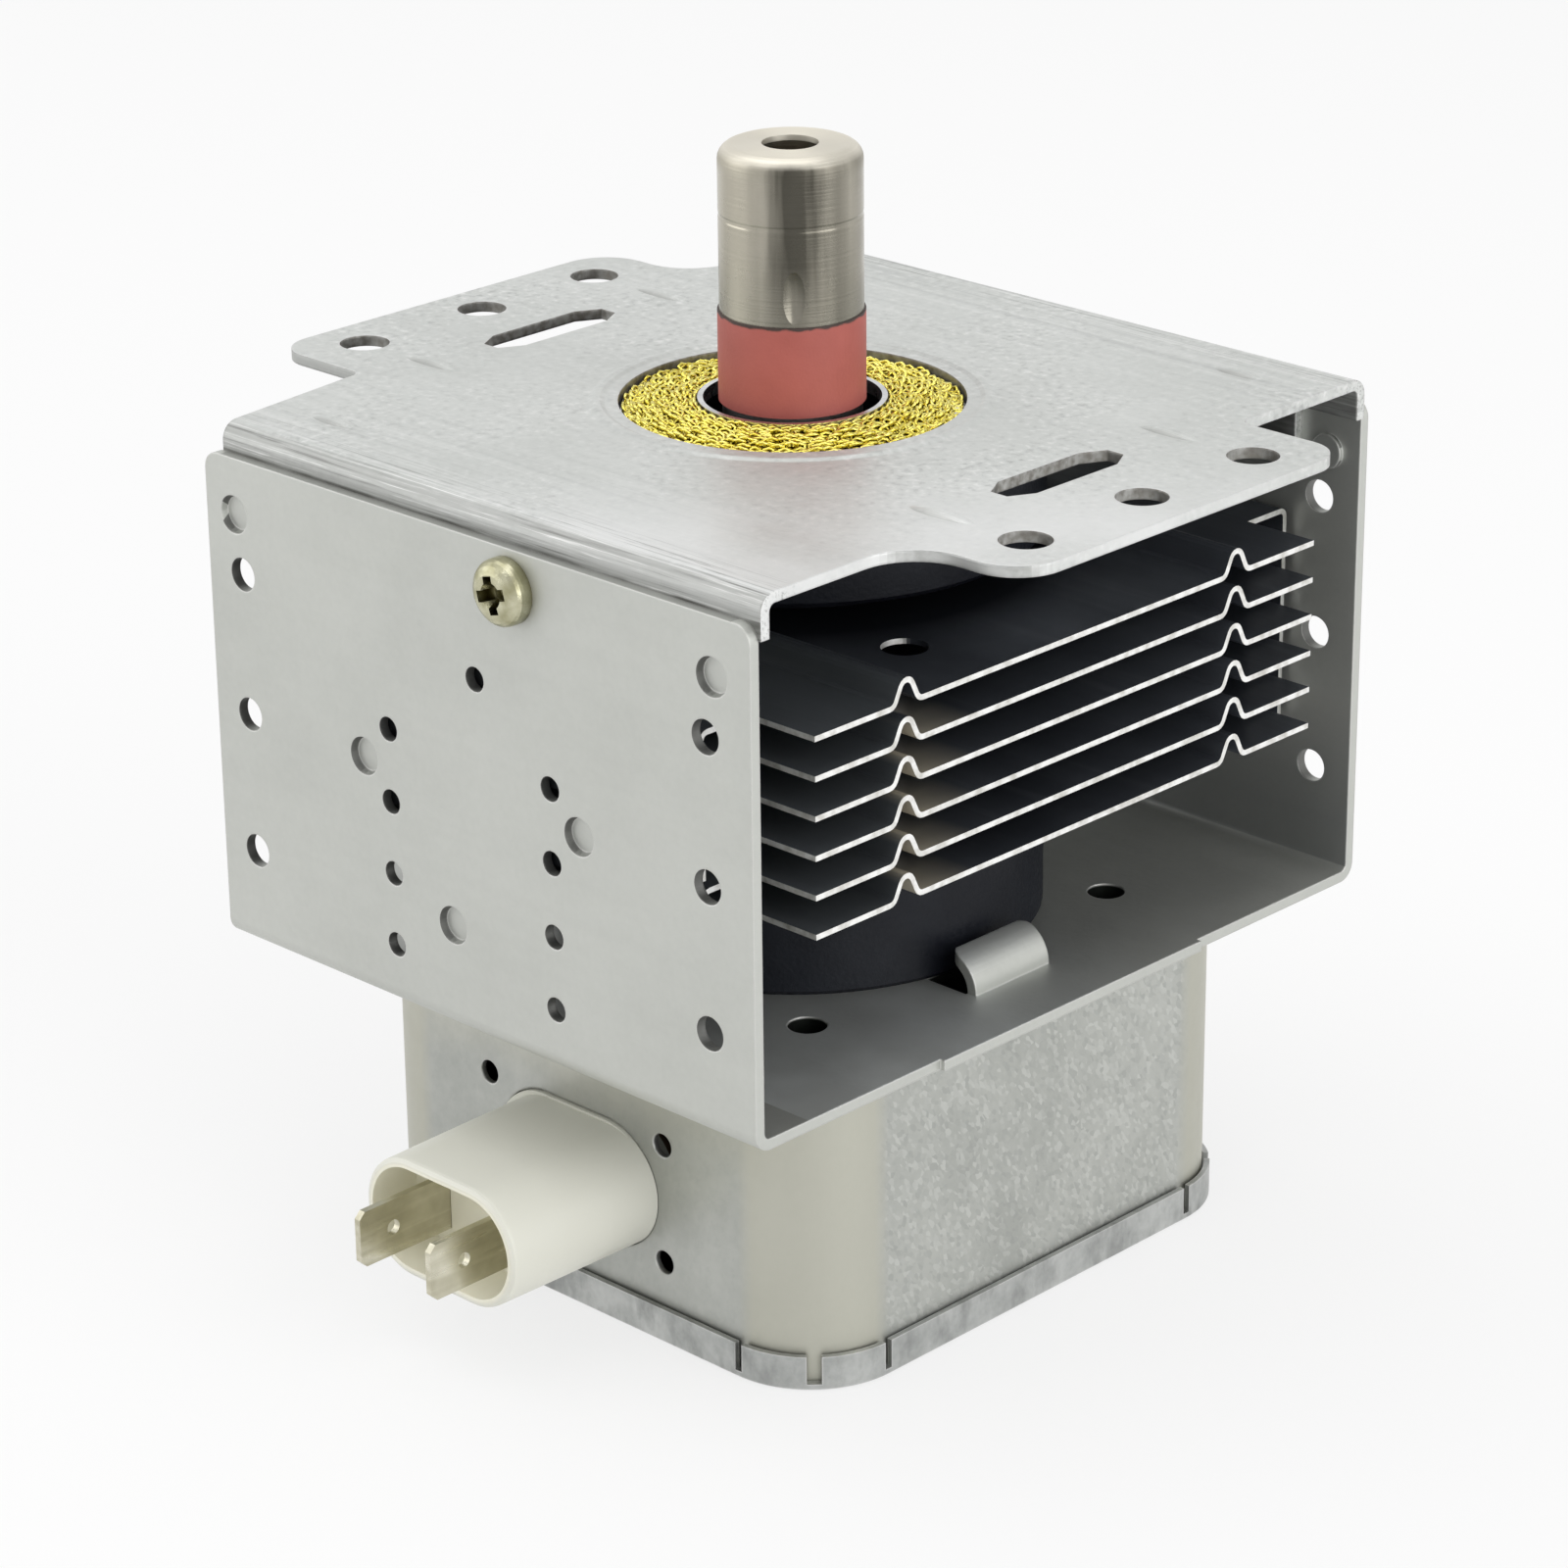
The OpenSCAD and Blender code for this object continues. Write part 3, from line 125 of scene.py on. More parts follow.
FLOOR_HALF = 3.0
FLOOR_DROP = 0.0002
FLOOR_GREY = (0.82, 0.82, 0.82, 1.0)
FLOOR_GLOW = 0.72
floor_paint = bpy.data.materials.new("floor_paint")
floor_paint.use_nodes = True
paint = floor_paint.node_tree
paint.nodes.remove(paint.nodes["Principled BSDF"])
matt = add(paint, "ShaderNodeBsdfDiffuse", {"Color": FLOOR_GREY})
glow = add(paint, "ShaderNodeEmission", {"Color": WHITE, "Strength": 1.0})
share = math_of(paint, "MULTIPLY", seen_directly(paint), FLOOR_GLOW)
both = add(paint, "ShaderNodeMixShader", {0: share, 1: matt.outputs[0], 2: glow.outputs[0]})
paint.links.new(both.outputs[0], paint.nodes["Material Output"].inputs["Surface"])

floor_mesh = bmesh.new()
bmesh.ops.create_grid(floor_mesh, x_segments=1, y_segments=1, size=FLOOR_HALF)
bmesh.ops.translate(floor_mesh, verts=floor_mesh.verts, vec=(0.0, 0.0, cad_box[0].z - FLOOR_DROP))
floor = bpy.data.objects.new("floor", bpy.data.meshes.new("floor"))
floor_mesh.to_mesh(floor.data)
floor_mesh.free()
floor.data.materials.append(floor_paint)
bpy.context.scene.collection.objects.link(floor)

LAMP_AIM = Vector((0.0, 0.0, -0.03))
LAMPS = (
    ("overhead_softbox", (-0.15, -0.15, 1.10), 1.4, 7.5),
    ("left_softbox", (-0.95, -0.75, 0.30), 1.0, 3.4),
    ("right_softbox", (1.00, 0.00, 0.25), 1.0, 6.0),
)
for name, lamp_place, size, power in LAMPS:
    lamp = bpy.data.objects.new(name, bpy.data.lights.new(name, "AREA"))
    lamp.data.shape = "SQUARE"
    lamp.data.size = size
    lamp.data.energy = power
    lamp.location = lamp_place
    lamp.rotation_mode = "QUATERNION"
    lamp.rotation_quaternion = (LAMP_AIM - Vector(lamp_place)).to_track_quat("-Z", "Y")
    bpy.context.scene.collection.objects.link(lamp)

# Anode block: a drawn copper cylinder with ten brazed vanes and two pairs of strap rings, and the copper
# antenna lead and pinch tube. Only the cylinder's dull, heat-browned outside shows, between the fins.


def surface(name, color, roughness, metallic=1.0, **constants):
    """A material with its tree, its Principled shader and the place on the piece, in metres."""
    made = bpy.data.materials.new(name)
    made.use_nodes = True
    tree = made.node_tree
    skin = tree.nodes["Principled BSDF"]
    skin.inputs["Base Color"].default_value = (*color, 1.0)
    skin.inputs["Roughness"].default_value = roughness
    skin.inputs["Metallic"].default_value = metallic
    for key, value in constants.items():
        skin.inputs[key.replace("_", " ").title().replace("Ior", "IOR")].default_value = value
    place = add(tree, "ShaderNodeTexCoord").outputs["Object"]
    return made, tree, skin, place


def dress(material, *nodes):
    for node in nodes:
        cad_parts[node].material_slots[0].material = material


def join(tree, value, skin, socket):
    tree.links.new(value, skin.inputs[socket])


def blend(tree, mask, low, high):
    """The colour between low and high that the mask asks for; each is a colour or a socket."""
    low, high = (end if isinstance(end, bpy.types.NodeSocket) else (*end, 1.0) for end in (low, high))
    return add(tree, "ShaderNodeMix", {0: mask, 6: low, 7: high}, data_type="RGBA").outputs[2]


def speckle(tree, place, scale, detail=2.0, stretch=None, roughness=0.5):
    """Noise on the piece, drawn out along the axes whose stretch is small."""
    if stretch:
        place = add(tree, "ShaderNodeMapping", {"Vector": place, "Scale": stretch}).outputs[0]
    inputs = {"Vector": place, "Scale": scale, "Detail": detail, "Roughness": roughness}
    return add(tree, "ShaderNodeTexNoise", inputs).outputs[0]


def relief(tree, skin, height, distance):
    bump = add(tree, "ShaderNodeBump", {"Height": height, "Distance": distance})
    join(tree, bump.outputs[0], skin, "Normal")


def plain_metal(name, dark, light, roughness, cloud, grain):
    """Bare metal with soft cloudy tarnish and a fine grain."""
    made, tree, skin, place = surface(name, light, roughness)
    tarnish = span(tree, speckle(tree, place, cloud, 4.0), 0.35, 0.65)
    join(tree, blend(tree, tarnish, dark, light), skin, "Base Color")
    join(tree, span(tree, tarnish, 0.0, 1.0, roughness + 0.1, roughness - 0.05), skin, "Roughness")
    relief(tree, skin, speckle(tree, place, grain), 0.00003)
    return made


COPPER_BROWNED = (0.50, 0.37, 0.27)
COPPER_CLEAN = (0.72, 0.57, 0.44)
anode_copper = plain_metal("anode_copper", COPPER_BROWNED, COPPER_CLEAN, 0.45, cloud=120.0, grain=2500.0)
dress(anode_copper, "anode_cylinder", "anode_vanes", "strap_rings", "exhaust_tube", "antenna_lead")

# Pole pieces: two pressed soft-iron cones that close the ends of the anode and lead the magnets' field into
# it. They are grey and satin.
IRON_DARK = (0.20, 0.20, 0.20)
IRON_LIGHT = (0.36, 0.36, 0.37)
pole_iron = plain_metal("pole_iron", IRON_DARK, IRON_LIGHT, 0.45, cloud=150.0, grain=2000.0)
dress(pole_iron, "upper_pole_piece", "lower_pole_piece")

# Cathode: a thoriated tungsten helix between two molybdenum end hats, carried by two straight leads that
# come up from the stem. It is dark grey from heat.
TUNGSTEN_DARK = (0.16, 0.16, 0.17)
TUNGSTEN_LIGHT = (0.33, 0.33, 0.35)
cathode_metal = plain_metal("cathode_metal", TUNGSTEN_DARK, TUNGSTEN_LIGHT, 0.42, cloud=400.0, grain=3000.0)
dress(cathode_metal, "cathode_filament", "upper_end_hat", "lower_end_hat", "centre_lead", "side_lead")

# Seals: thin drawn sleeves and a cup of nickel-iron that are brazed to the ceramics, and the stem's two
# spade terminals in the same pale metal.
SEAL_DARK = (0.36, 0.36, 0.36)
SEAL_LIGHT = (0.55, 0.55, 0.54)
seal_metal = plain_metal("seal_metal", SEAL_DARK, SEAL_LIGHT, 0.33, cloud=180.0, grain=2500.0)
dress(seal_metal, "upper_seal_sleeve", "lower_seal_sleeve", "exhaust_seal")
dress(seal_metal, "left_stem_terminal", "right_stem_terminal")

# Magnets: two ferrite rings, pressed, fired and ground, blue-black and faintly grainy. They sit between the
# pole pieces and the yoke. The choke cores are of the same ferrite.
FERRITE = (0.009, 0.010, 0.015)
FERRITE_CLEAN = (0.007, 0.008, 0.012)
FERRITE_DUSTY = (0.016, 0.018, 0.024)
ferrite_black, tree, skin, place = surface("ferrite_black", FERRITE, 0.48, 0.0, specular_ior_level=0.2)
grit = speckle(tree, place, 1800.0, 3.0)
dust = span(tree, speckle(tree, place, 90.0, 5.0), 0.42, 0.75)
join(tree, blend(tree, dust, FERRITE_CLEAN, FERRITE_DUSTY), skin, "Base Color")
join(tree, span(tree, grit, 0.3, 0.7, 0.36, 0.52), skin, "Roughness")
relief(tree, skin, grit, 0.00004)
dress(ferrite_black, "upper_magnet", "lower_magnet", "left_choke_core", "right_choke_core")

# Cooling fins: six aluminium sheets pressed onto the anode, each with two ridges and tabs folded along the
# walls. The faces are painted near black as painted shade, standing for the dark interior that the bare
# aluminium reflects, and darker still towards the anode as painted shade under the magnets. Beside the ridge
# at the screw wall they carry a warm painted glow, a painted reflection of light off the ridge, and a band
# across and past the ridge is lighter. The sheared edges are bright metal.


def facing(tree):
    """X, Y and Z of the way that the face points, without any bump."""
    return apart(tree, add(tree, "ShaderNodeNewGeometry").outputs["True Normal"])


def size_of(tree, value):
    return math_of(tree, "ABSOLUTE", value)


def overlap(tree, mask, *others):
    """The masks times each other, which is high only where all of them are."""
    for other in others:
        mask = math_of(tree, "MULTIPLY", mask, other)
    return mask


def lay(tree, skin, mask, color):
    """Lays a colour over what the skin has so far, as far as the mask says."""
    before = skin.inputs["Base Color"].links[0].from_socket
    join(tree, blend(tree, mask, before, color), skin, "Base Color")


FIN_END_HALF = 0.0387
FIN_END_REACH = 0.0004
COLLAR_R = 0.0225
COLLAR_FADE = 0.0005
AXIS_SHADE_IN = 0.027
AXIS_SHADE_OUT = 0.036
RIDGE_Y = -0.0256
GLOW_FROM = 0.010
GLOW_TO = 0.001
GLOW_X_IN = 0.030
GLOW_X_OUT = 0.036
GLOW_TOP = -0.0185
PAST_RIDGE_FROM = 0.0008
RIDGE_FAR = 0.0012
FIN_DARK = (0.056, 0.062, 0.074)
FIN_LIGHT = (0.112, 0.122, 0.140)
FIN_RUBBED = (0.22, 0.23, 0.25)
FIN_RIDGE_GLOW = (0.62, 0.565, 0.45)
FIN_PAST_RIDGE = (0.15, 0.165, 0.17)
AXIS_SHADE_BLACK = (0.006, 0.0065, 0.009)
SHEAR_DULL = (0.62, 0.61, 0.57)
SHEAR_BRIGHT = (0.90, 0.90, 0.88)
fin_metal, tree, skin, place = surface("fin_metal", FIN_DARK, 0.3, 0.45, specular_ior_level=0.05)
spot = apart(tree, place)
points = facing(tree)
# The faces are painted near black: painted shade standing for the dark interior that bright aluminium
# reflects.
face_tone = span(tree, speckle(tree, place, 55.0, 4.0, (0.35, 1.0, 1.0)), 0.35, 0.7)
join(tree, blend(tree, face_tone, FIN_DARK, FIN_LIGHT), skin, "Base Color")
rubs = span(tree, speckle(tree, place, 260.0, 3.0, (0.06, 1.0, 1.0)), 0.60, 0.78, 0.0, 0.25)
lay(tree, skin, rubs, FIN_RUBBED)

# Painted light: a warm glow beside the ridge at the screw wall, standing for light reflected off the ridge.
ridge_glow = overlap(
    tree,
    span(tree, spot["Y"], RIDGE_Y + GLOW_FROM, RIDGE_Y + GLOW_TO),
    span(tree, spot["Y"], RIDGE_Y - RIDGE_FAR, RIDGE_Y - 0.0002),
    span(tree, size_of(tree, spot["X"]), GLOW_X_IN, GLOW_X_OUT),
    span(tree, spot["Z"], GLOW_TOP, GLOW_TOP - 0.001),
)
lay(tree, skin, ridge_glow, FIN_RIDGE_GLOW)
# Lighter across the ridge and past it, towards the wall.
lay(tree, skin, span(tree, spot["Y"], RIDGE_Y + PAST_RIDGE_FROM, RIDGE_Y - RIDGE_FAR, 0.0, 0.45), FIN_PAST_RIDGE)

# Painted shade: the faces darken towards the anode, under the magnets, and turn rougher and less metallic
# there.
level = add(tree, "ShaderNodeVectorMath", {0: place, 1: (1.0, 1.0, 0.0)}, operation="MULTIPLY").outputs[0]
from_axis = add(tree, "ShaderNodeVectorMath", {0: level}, operation="LENGTH").outputs["Value"]
axis_shade = span(tree, from_axis, AXIS_SHADE_OUT, AXIS_SHADE_IN, 0.0, 0.95)
lay(tree, skin, axis_shade, AXIS_SHADE_BLACK)

at_end = math_of(tree, "COMPARE", size_of(tree, spot["Y"]), FIN_END_HALF, FIN_END_REACH)
end_cut = overlap(tree, span(tree, size_of(tree, points["Y"]), 0.9, 0.97), at_end)
side_cut = span(tree, size_of(tree, points["X"]), 0.55, 0.75)
past_collar = span(tree, from_axis, COLLAR_R, COLLAR_R + COLLAR_FADE)
sheared = overlap(tree, math_of(tree, "MAXIMUM", side_cut, end_cut), past_collar)
nicks = span(tree, speckle(tree, place, 700.0, 2.0), 0.3, 0.6)
lay(tree, skin, sheared, blend(tree, nicks, SHEAR_DULL, SHEAR_BRIGHT))

unshaded = math_of(tree, "SUBTRACT", 1.0, axis_shade)
face_roughness = span(tree, unshaded, 0.0, 1.0, 0.65, 0.28)
face_metal = math_of(tree, "MULTIPLY", unshaded, 0.52)
join(tree, span(tree, sheared, 0.0, 1.0, face_roughness, 0.45), skin, "Roughness")
join(tree, span(tree, sheared, 0.0, 1.0, face_metal, 0.9), skin, "Metallic")
relief(tree, skin, speckle(tree, place, 900.0, 2.0, (0.1, 1.0, 1.0)), 0.00002)
dress(fin_metal, *(f"fin_{number}" for number in range(1, 7)))

# Yoke: one U of galvanised steel sheet, blanked, pressed and folded. Its zinc is pale and satin, with faint
# bloom, rolling lines and bright rubbed edges, and its holes are burred through the box's roof. Painted light
# makes the base paler at its open front, and painted shade darkens the holes' walls, the dimples' sides that
# face +X and the walls' foot inside.


def effect(name, inputs, outputs):
    """A shader group with named sockets, and its two end nodes."""
    made = bpy.data.node_groups.new(name, "ShaderNodeTree")
    for label, kind, default in inputs:
        made.interface.new_socket(name=label, in_out="INPUT", socket_type=kind).default_value = default
    for label, kind in outputs:
        made.interface.new_socket(name=label, in_out="OUTPUT", socket_type=kind)
    return made, add(made, "NodeGroupInput").outputs, add(made, "NodeGroupOutput").inputs


def along(tree, vector, way):
    """How far a vector goes that way."""
    inputs = {0: vector, 1: way}
    return add(tree, "ShaderNodeVectorMath", inputs, operation="DOT_PRODUCT").outputs["Value"]


rubbed_edge, given, put = effect(
    "rubbed_edge",
    [("Width", "NodeSocketFloat", 0.0004)],
    [("Rub", "NodeSocketFloat"), ("Normal", "NodeSocketVector")],
)
rounded = add(rubbed_edge, "ShaderNodeBevel", {"Radius": given["Width"]}, samples=6).outputs[0]
straight = add(rubbed_edge, "ShaderNodeNewGeometry").outputs["True Normal"]
rub = span(rubbed_edge, along(rubbed_edge, rounded, straight), 0.985, 0.86)
rubbed_edge.links.new(rub, put["Rub"])
rubbed_edge.links.new(rounded, put["Normal"])

zinc_bloom, given, put = effect(
    "zinc_bloom",
    [
        ("Place", "NodeSocketVector", (0.0, 0.0, 0.0)),
        ("Cloud", "NodeSocketFloat", 60.0),
        ("Grain", "NodeSocketFloat", 1500.0),
    ],
    [("Tone", "NodeSocketFloat"), ("Grain", "NodeSocketFloat")],
)
clouds = speckle(zinc_bloom, given["Place"], given["Cloud"], 6.0, roughness=0.62)
fine = speckle(zinc_bloom, given["Place"], given["Grain"], 2.0)
wide = span(zinc_bloom, clouds, 0.30, 0.70)
close = span(zinc_bloom, fine, 0.25, 0.75, -0.14, 0.14)
zinc_bloom.links.new(math_of(zinc_bloom, "ADD", wide, close), put["Tone"])
zinc_bloom.links.new(fine, put["Grain"])


def zinc(name, dark, light, rubbed, roughness, metallic, cloud, grain, rolling, edge):
    """Zinc-coated sheet: bloom, rolling lines and rubbed edges. rolling is small along the rolling."""
    made, tree, skin, place = surface(name, light, roughness, metallic)
    bloom = add(tree, "ShaderNodeGroup", node_tree=zinc_bloom)
    tree.links.new(place, bloom.inputs["Place"])
    bloom.inputs["Cloud"].default_value = cloud
    bloom.inputs["Grain"].default_value = grain
    wear = add(tree, "ShaderNodeGroup", node_tree=rubbed_edge)
    wear.inputs["Width"].default_value = edge
    rolled = span(tree, speckle(tree, place, 420.0, 3.0, rolling), 0.30, 0.70, -0.12, 0.12)
    tone = math_of(tree, "ADD", bloom.outputs["Tone"], rolled)
    join(tree, blend(tree, tone, dark, light), skin, "Base Color")
    lay(tree, skin, wear.outputs["Rub"], rubbed)
    join(tree, span(tree, tone, 0.0, 1.0, roughness + 0.08, roughness - 0.06), skin, "Roughness")
    bump_inputs = {"Height": bloom.outputs["Grain"], "Distance": 0.00002, "Normal": wear.outputs["Normal"]}
    join(tree, add(tree, "ShaderNodeBump", bump_inputs).outputs[0], skin, "Normal")
    return made, tree, skin, place


SHEET_T = 0.0012
BASE_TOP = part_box("filter_box")[1].z + SHEET_T
BASE_HALF_Y = 0.040
WALL_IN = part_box("lower_yoke")[1].y - SHEET_T
INSIDE_HALF_X = 0.0375
FOLD_H = 0.003
BASE_LIT_FROM_X = 0.012
BASE_LIT_TO_X = 0.032
BASE_LIT_HALF_Y = 0.014
FOOT_TOP = -0.037
FOOT_BOTTOM = -0.052
YOKE_DARK = (0.515, 0.525, 0.495)
YOKE_LIGHT = (0.555, 0.565, 0.532)
YOKE_RUBBED = (0.66, 0.66, 0.635)
YOKE_BASE_LIT = (0.80, 0.83, 0.82)
YOKE_FOOT_SHADE = (0.25, 0.26, 0.26)
YOKE_DIMPLE_SHADE = (0.10, 0.10, 0.095)
HOLE_SHADE = (0.02, 0.024, 0.02)
yoke_zinc, tree, skin, place = zinc(
    "yoke_zinc", YOKE_DARK, YOKE_LIGHT, YOKE_RUBBED, roughness=0.5, metallic=0.8,
    cloud=40.0, grain=1400.0, rolling=(0.04, 1.0, 1.0), edge=0.0003,
)
spot = apart(tree, place)
points = facing(tree)
inboard = math_of(tree, "LESS_THAN", size_of(tree, spot["Y"]), BASE_HALF_Y)
inside = math_of(tree, "LESS_THAN", size_of(tree, spot["X"]), INSIDE_HALF_X)

# Painted shade: the walls of the holes in the base are dark.
in_base = span(tree, spot["Z"], BASE_TOP - 0.0001, BASE_TOP - 0.0003)
hole_wall = span(tree, size_of(tree, points["Z"]), 0.5, 0.3)
lay(tree, skin, overlap(tree, in_base, inboard, hole_wall, inside), HOLE_SHADE)

# Painted shade: the side walls of the pressed dimples that face +X are dark.
in_wall = span(tree, size_of(tree, spot["Y"]), WALL_IN - 0.0008, WALL_IN - 0.0001)
over_fold = span(tree, spot["Z"], BASE_TOP, BASE_TOP + FOLD_H)
pressed = span(tree, size_of(tree, points["Y"]), 0.9, 0.6)
turned_away = span(tree, points["X"], -0.1, 0.5, 0.25, 0.85)
lay(tree, skin, overlap(tree, pressed, inside, in_wall, over_fold, turned_away), YOKE_DIMPLE_SHADE)

# Painted light: the base is paler towards its open front, where light comes in, broken into patches.
on_base = overlap(tree, span(tree, points["Z"], 0.5, 0.9), inboard)
to_front = span(tree, spot["X"], BASE_LIT_FROM_X, BASE_LIT_TO_X, 0.2, 0.9)
to_left = span(tree, spot["Y"], BASE_LIT_HALF_Y, -BASE_LIT_HALF_Y)
lit_patches = span(tree, speckle(tree, place, 70.0, 4.0), 0.35, 0.65, 0.6, 1.0)
lay(tree, skin, overlap(tree, on_base, to_front, to_left, lit_patches), YOKE_BASE_LIT)

# Painted shade: the walls are darker towards their foot inside.
wall_inside = span(tree, math_of(tree, "MULTIPLY", points["Y"], spot["Y"]), -0.040, -0.043)
to_foot = span(tree, spot["Z"], FOOT_TOP, FOOT_BOTTOM, 0.0, 0.7)
lay(tree, skin, overlap(tree, wall_inside, to_foot), YOKE_FOOT_SHADE)
dress(yoke_zinc, "lower_yoke")

# Top plate: galvanised sheet with two flanges folded down inside the yoke's walls. The die left draw lines
# and scores along its folds, the zinc is pitted in patches, and one corner is rubbed bright. Painted shade
# greys the curve of the folds and darkens the walls of the punched holes in its ears, whose edges are torn,
# and a painted shadow runs where the flanges meet the walls' top.


def two_tone(tree, skin, noise, zone, dark, bright):
    """Lays a dark and a bright colour where the noise is high and low. Each is a range and a colour."""
    for low, high, color in (dark, bright):
        lay(tree, skin, overlap(tree, span(tree, noise, low, high), zone), color)


WALL_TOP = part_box("lower_yoke")[1].z
SEAM_H = 0.0004
DRAWN_FROM_Y = 0.026
DRAWN_TO_Y = 0.044
SCORED_FROM_Y = 0.0405
SCORED_TO_Y = 0.0435
RUBBED_FROM = 0.024
RUBBED_TO = 0.042
EAR_END_X = 0.0515
EAR_HALF_Y = 0.0225
EAR_FADE = 0.0005
PLATE_DARK = (0.57, 0.585, 0.565)
PLATE_LIGHT = (0.655, 0.67, 0.65)
PLATE_RUBBED = (0.70, 0.70, 0.69)
DRAWN_DARK = (0.36, 0.37, 0.37)
DRAWN_BRIGHT = (0.80, 0.80, 0.79)
PIT_DARK = (0.40, 0.41, 0.40)
PIT_BRIGHT = (0.84, 0.84, 0.83)
CORNER_BRIGHT = (0.78, 0.785, 0.78)
FOLD_SHADE = (0.37, 0.375, 0.36)
SCORE_DARK = (0.20, 0.20, 0.19)
SEAM_SHADOW = (0.13, 0.13, 0.12)
HOLE_WALL_SHADE = (0.20, 0.19, 0.17)
plate_zinc, tree, skin, place = zinc(
    "plate_zinc", PLATE_DARK, PLATE_LIGHT, PLATE_RUBBED, roughness=0.46, metallic=0.66,
    cloud=38.0, grain=1100.0, rolling=(0.03, 1.0, 1.0), edge=0.0004,
)
spot = apart(tree, place)
points = facing(tree)
out_y = size_of(tree, spot["Y"])
lean_y = size_of(tree, points["Y"])
drawn = speckle(tree, place, 650.0, 4.0, (0.012, 1.0, 1.0), 0.6)
by_fold = span(tree, out_y, DRAWN_FROM_Y, DRAWN_TO_Y, 0.08, 0.6)
two_tone(tree, skin, drawn, by_fold, (0.52, 0.72, DRAWN_DARK), (0.46, 0.30, DRAWN_BRIGHT))

pits = speckle(tree, place, 1000.0, 3.0)
patchy = span(tree, speckle(tree, place, 45.0, 3.0), 0.40, 0.65, 0.2, 0.75)
two_tone(tree, skin, pits, patchy, (0.54, 0.72, PIT_DARK), (0.46, 0.28, PIT_BRIGHT))

to_corner = span(tree, along(tree, place, (0.7, -0.7, 0.0)), RUBBED_FROM, RUBBED_TO, 0.0, 0.7)
smooth = span(tree, speckle(tree, place, 60.0, 3.0), 0.35, 0.6, 0.4, 1.0)
lay(tree, skin, overlap(tree, to_corner, smooth), CORNER_BRIGHT)

# Painted shade: the curve of each fold, turned partly sideways, is greyer.
fold_shade_mask = overlap(tree, span(tree, lean_y, 0.25, 0.6), span(tree, drawn, 0.35, 0.65, 0.5, 1.0))
lay(tree, skin, fold_shade_mask, FOLD_SHADE)
scores = speckle(tree, place, 2600.0, 4.0, (0.02, 1.0, 1.0), 0.7)
scored = span(tree, out_y, SCORED_FROM_Y, SCORED_TO_Y, 0.0, 0.8)
two_tone(tree, skin, scores, scored, (0.54, 0.68, SCORE_DARK), (0.44, 0.30, PIT_BRIGHT))

# Painted shadow: a broken dark line where the flanges meet the top of the yoke's walls.
at_seam = span(tree, spot["Z"], WALL_TOP + SEAM_H, WALL_TOP + 0.5 * SEAM_H)
broken = span(tree, speckle(tree, place, 300.0, 3.0, (0.3, 1.0, 1.0)), 0.4, 0.6, 0.1, 1.0)
lay(tree, skin, overlap(tree, at_seam, broken, span(tree, lean_y, 0.7, 0.9)), SEAM_SHADOW)

# Painted shade: the walls of the punched holes are dark, broken up by noise.
cut_wall = span(tree, size_of(tree, points["Z"]), 0.4, 0.2)
in_ear_x = span(tree, size_of(tree, spot["X"]), EAR_END_X, EAR_END_X - EAR_FADE)
in_ear_y = span(tree, out_y, EAR_HALF_Y, EAR_HALF_Y - EAR_FADE)
hole_shade_break = span(tree, speckle(tree, place, 1100.0, 3.0), 0.35, 0.65, 0.55, 1.0)
lay(tree, skin, overlap(tree, cut_wall, in_ear_x, in_ear_y, hole_shade_break), HOLE_WALL_SHADE)
dress(plate_zinc, "top_plate")

# Wall screws: two pan-head cross screws, zinc-plated and passivated yellow, driven through the yoke's walls
# into the plate's flanges. Painted shade darkens the recess and under the head.
SCREW_DULL = (0.36, 0.345, 0.215)
SCREW_BRIGHT = (0.60, 0.585, 0.43)
SCREW_NOOK_SHADE = (0.09, 0.078, 0.03)
SCREW_NOOK = 0.0014
screw_zinc, tree, skin, place = surface("screw_zinc", SCREW_BRIGHT, 0.28)
sheen = span(tree, speckle(tree, place, 420.0, 3.0), 0.35, 0.65)
join(tree, blend(tree, sheen, SCREW_DULL, SCREW_BRIGHT), skin, "Base Color")
# Painted shade in the recess and under the head, where little light reaches.
nook = add(tree, "ShaderNodeAmbientOcclusion", {"Distance": SCREW_NOOK}, samples=8).outputs["AO"]
lay(tree, skin, span(tree, nook, 0.80, 0.35), SCREW_NOOK_SHADE)
join(tree, span(tree, sheen, 0.0, 1.0, 0.36, 0.2), skin, "Roughness")
relief(tree, skin, speckle(tree, place, 1500.0, 3.0), 0.00005)
dress(screw_zinc, "wall_screws")

# Gasket: a thin turned steel ring that holds a roll of gold-coloured knitted wire, which closes the gap to
# the oven's waveguide. The wire is knitted in rounds, and each loop hangs in the round beside it.
RING_DARK = (0.60, 0.61, 0.62)
RING_LIGHT = (0.78, 0.78, 0.78)
ring_metal = plain_metal("ring_metal", RING_DARK, RING_LIGHT, 0.24, cloud=220.0, grain=2200.0)
dress(ring_metal, "gasket_ring")

GOLD_DEEP = (0.80, 0.67, 0.09)
GOLD_PALE = (1.0, 0.91, 0.27)
GOLD_SHADE = (0.18, 0.14, 0.010)
WIRE_NOOK = 0.0008
gold_wire, tree, skin, place = surface("gold_wire", GOLD_DEEP, 0.15)
warm = span(tree, speckle(tree, place, 800.0, 3.0), 0.30, 0.70)
join(tree, blend(tree, warm, GOLD_DEEP, GOLD_PALE), skin, "Base Color")
# Painted shade where the wires crowd each other.
nook = add(tree, "ShaderNodeAmbientOcclusion", {"Distance": WIRE_NOOK}, samples=8).outputs["AO"]
lay(tree, skin, span(tree, nook, 0.60, 0.12, 0.0, 0.75), GOLD_SHADE)
relief(tree, skin, speckle(tree, place, 5000.0, 2.0), 0.00002)

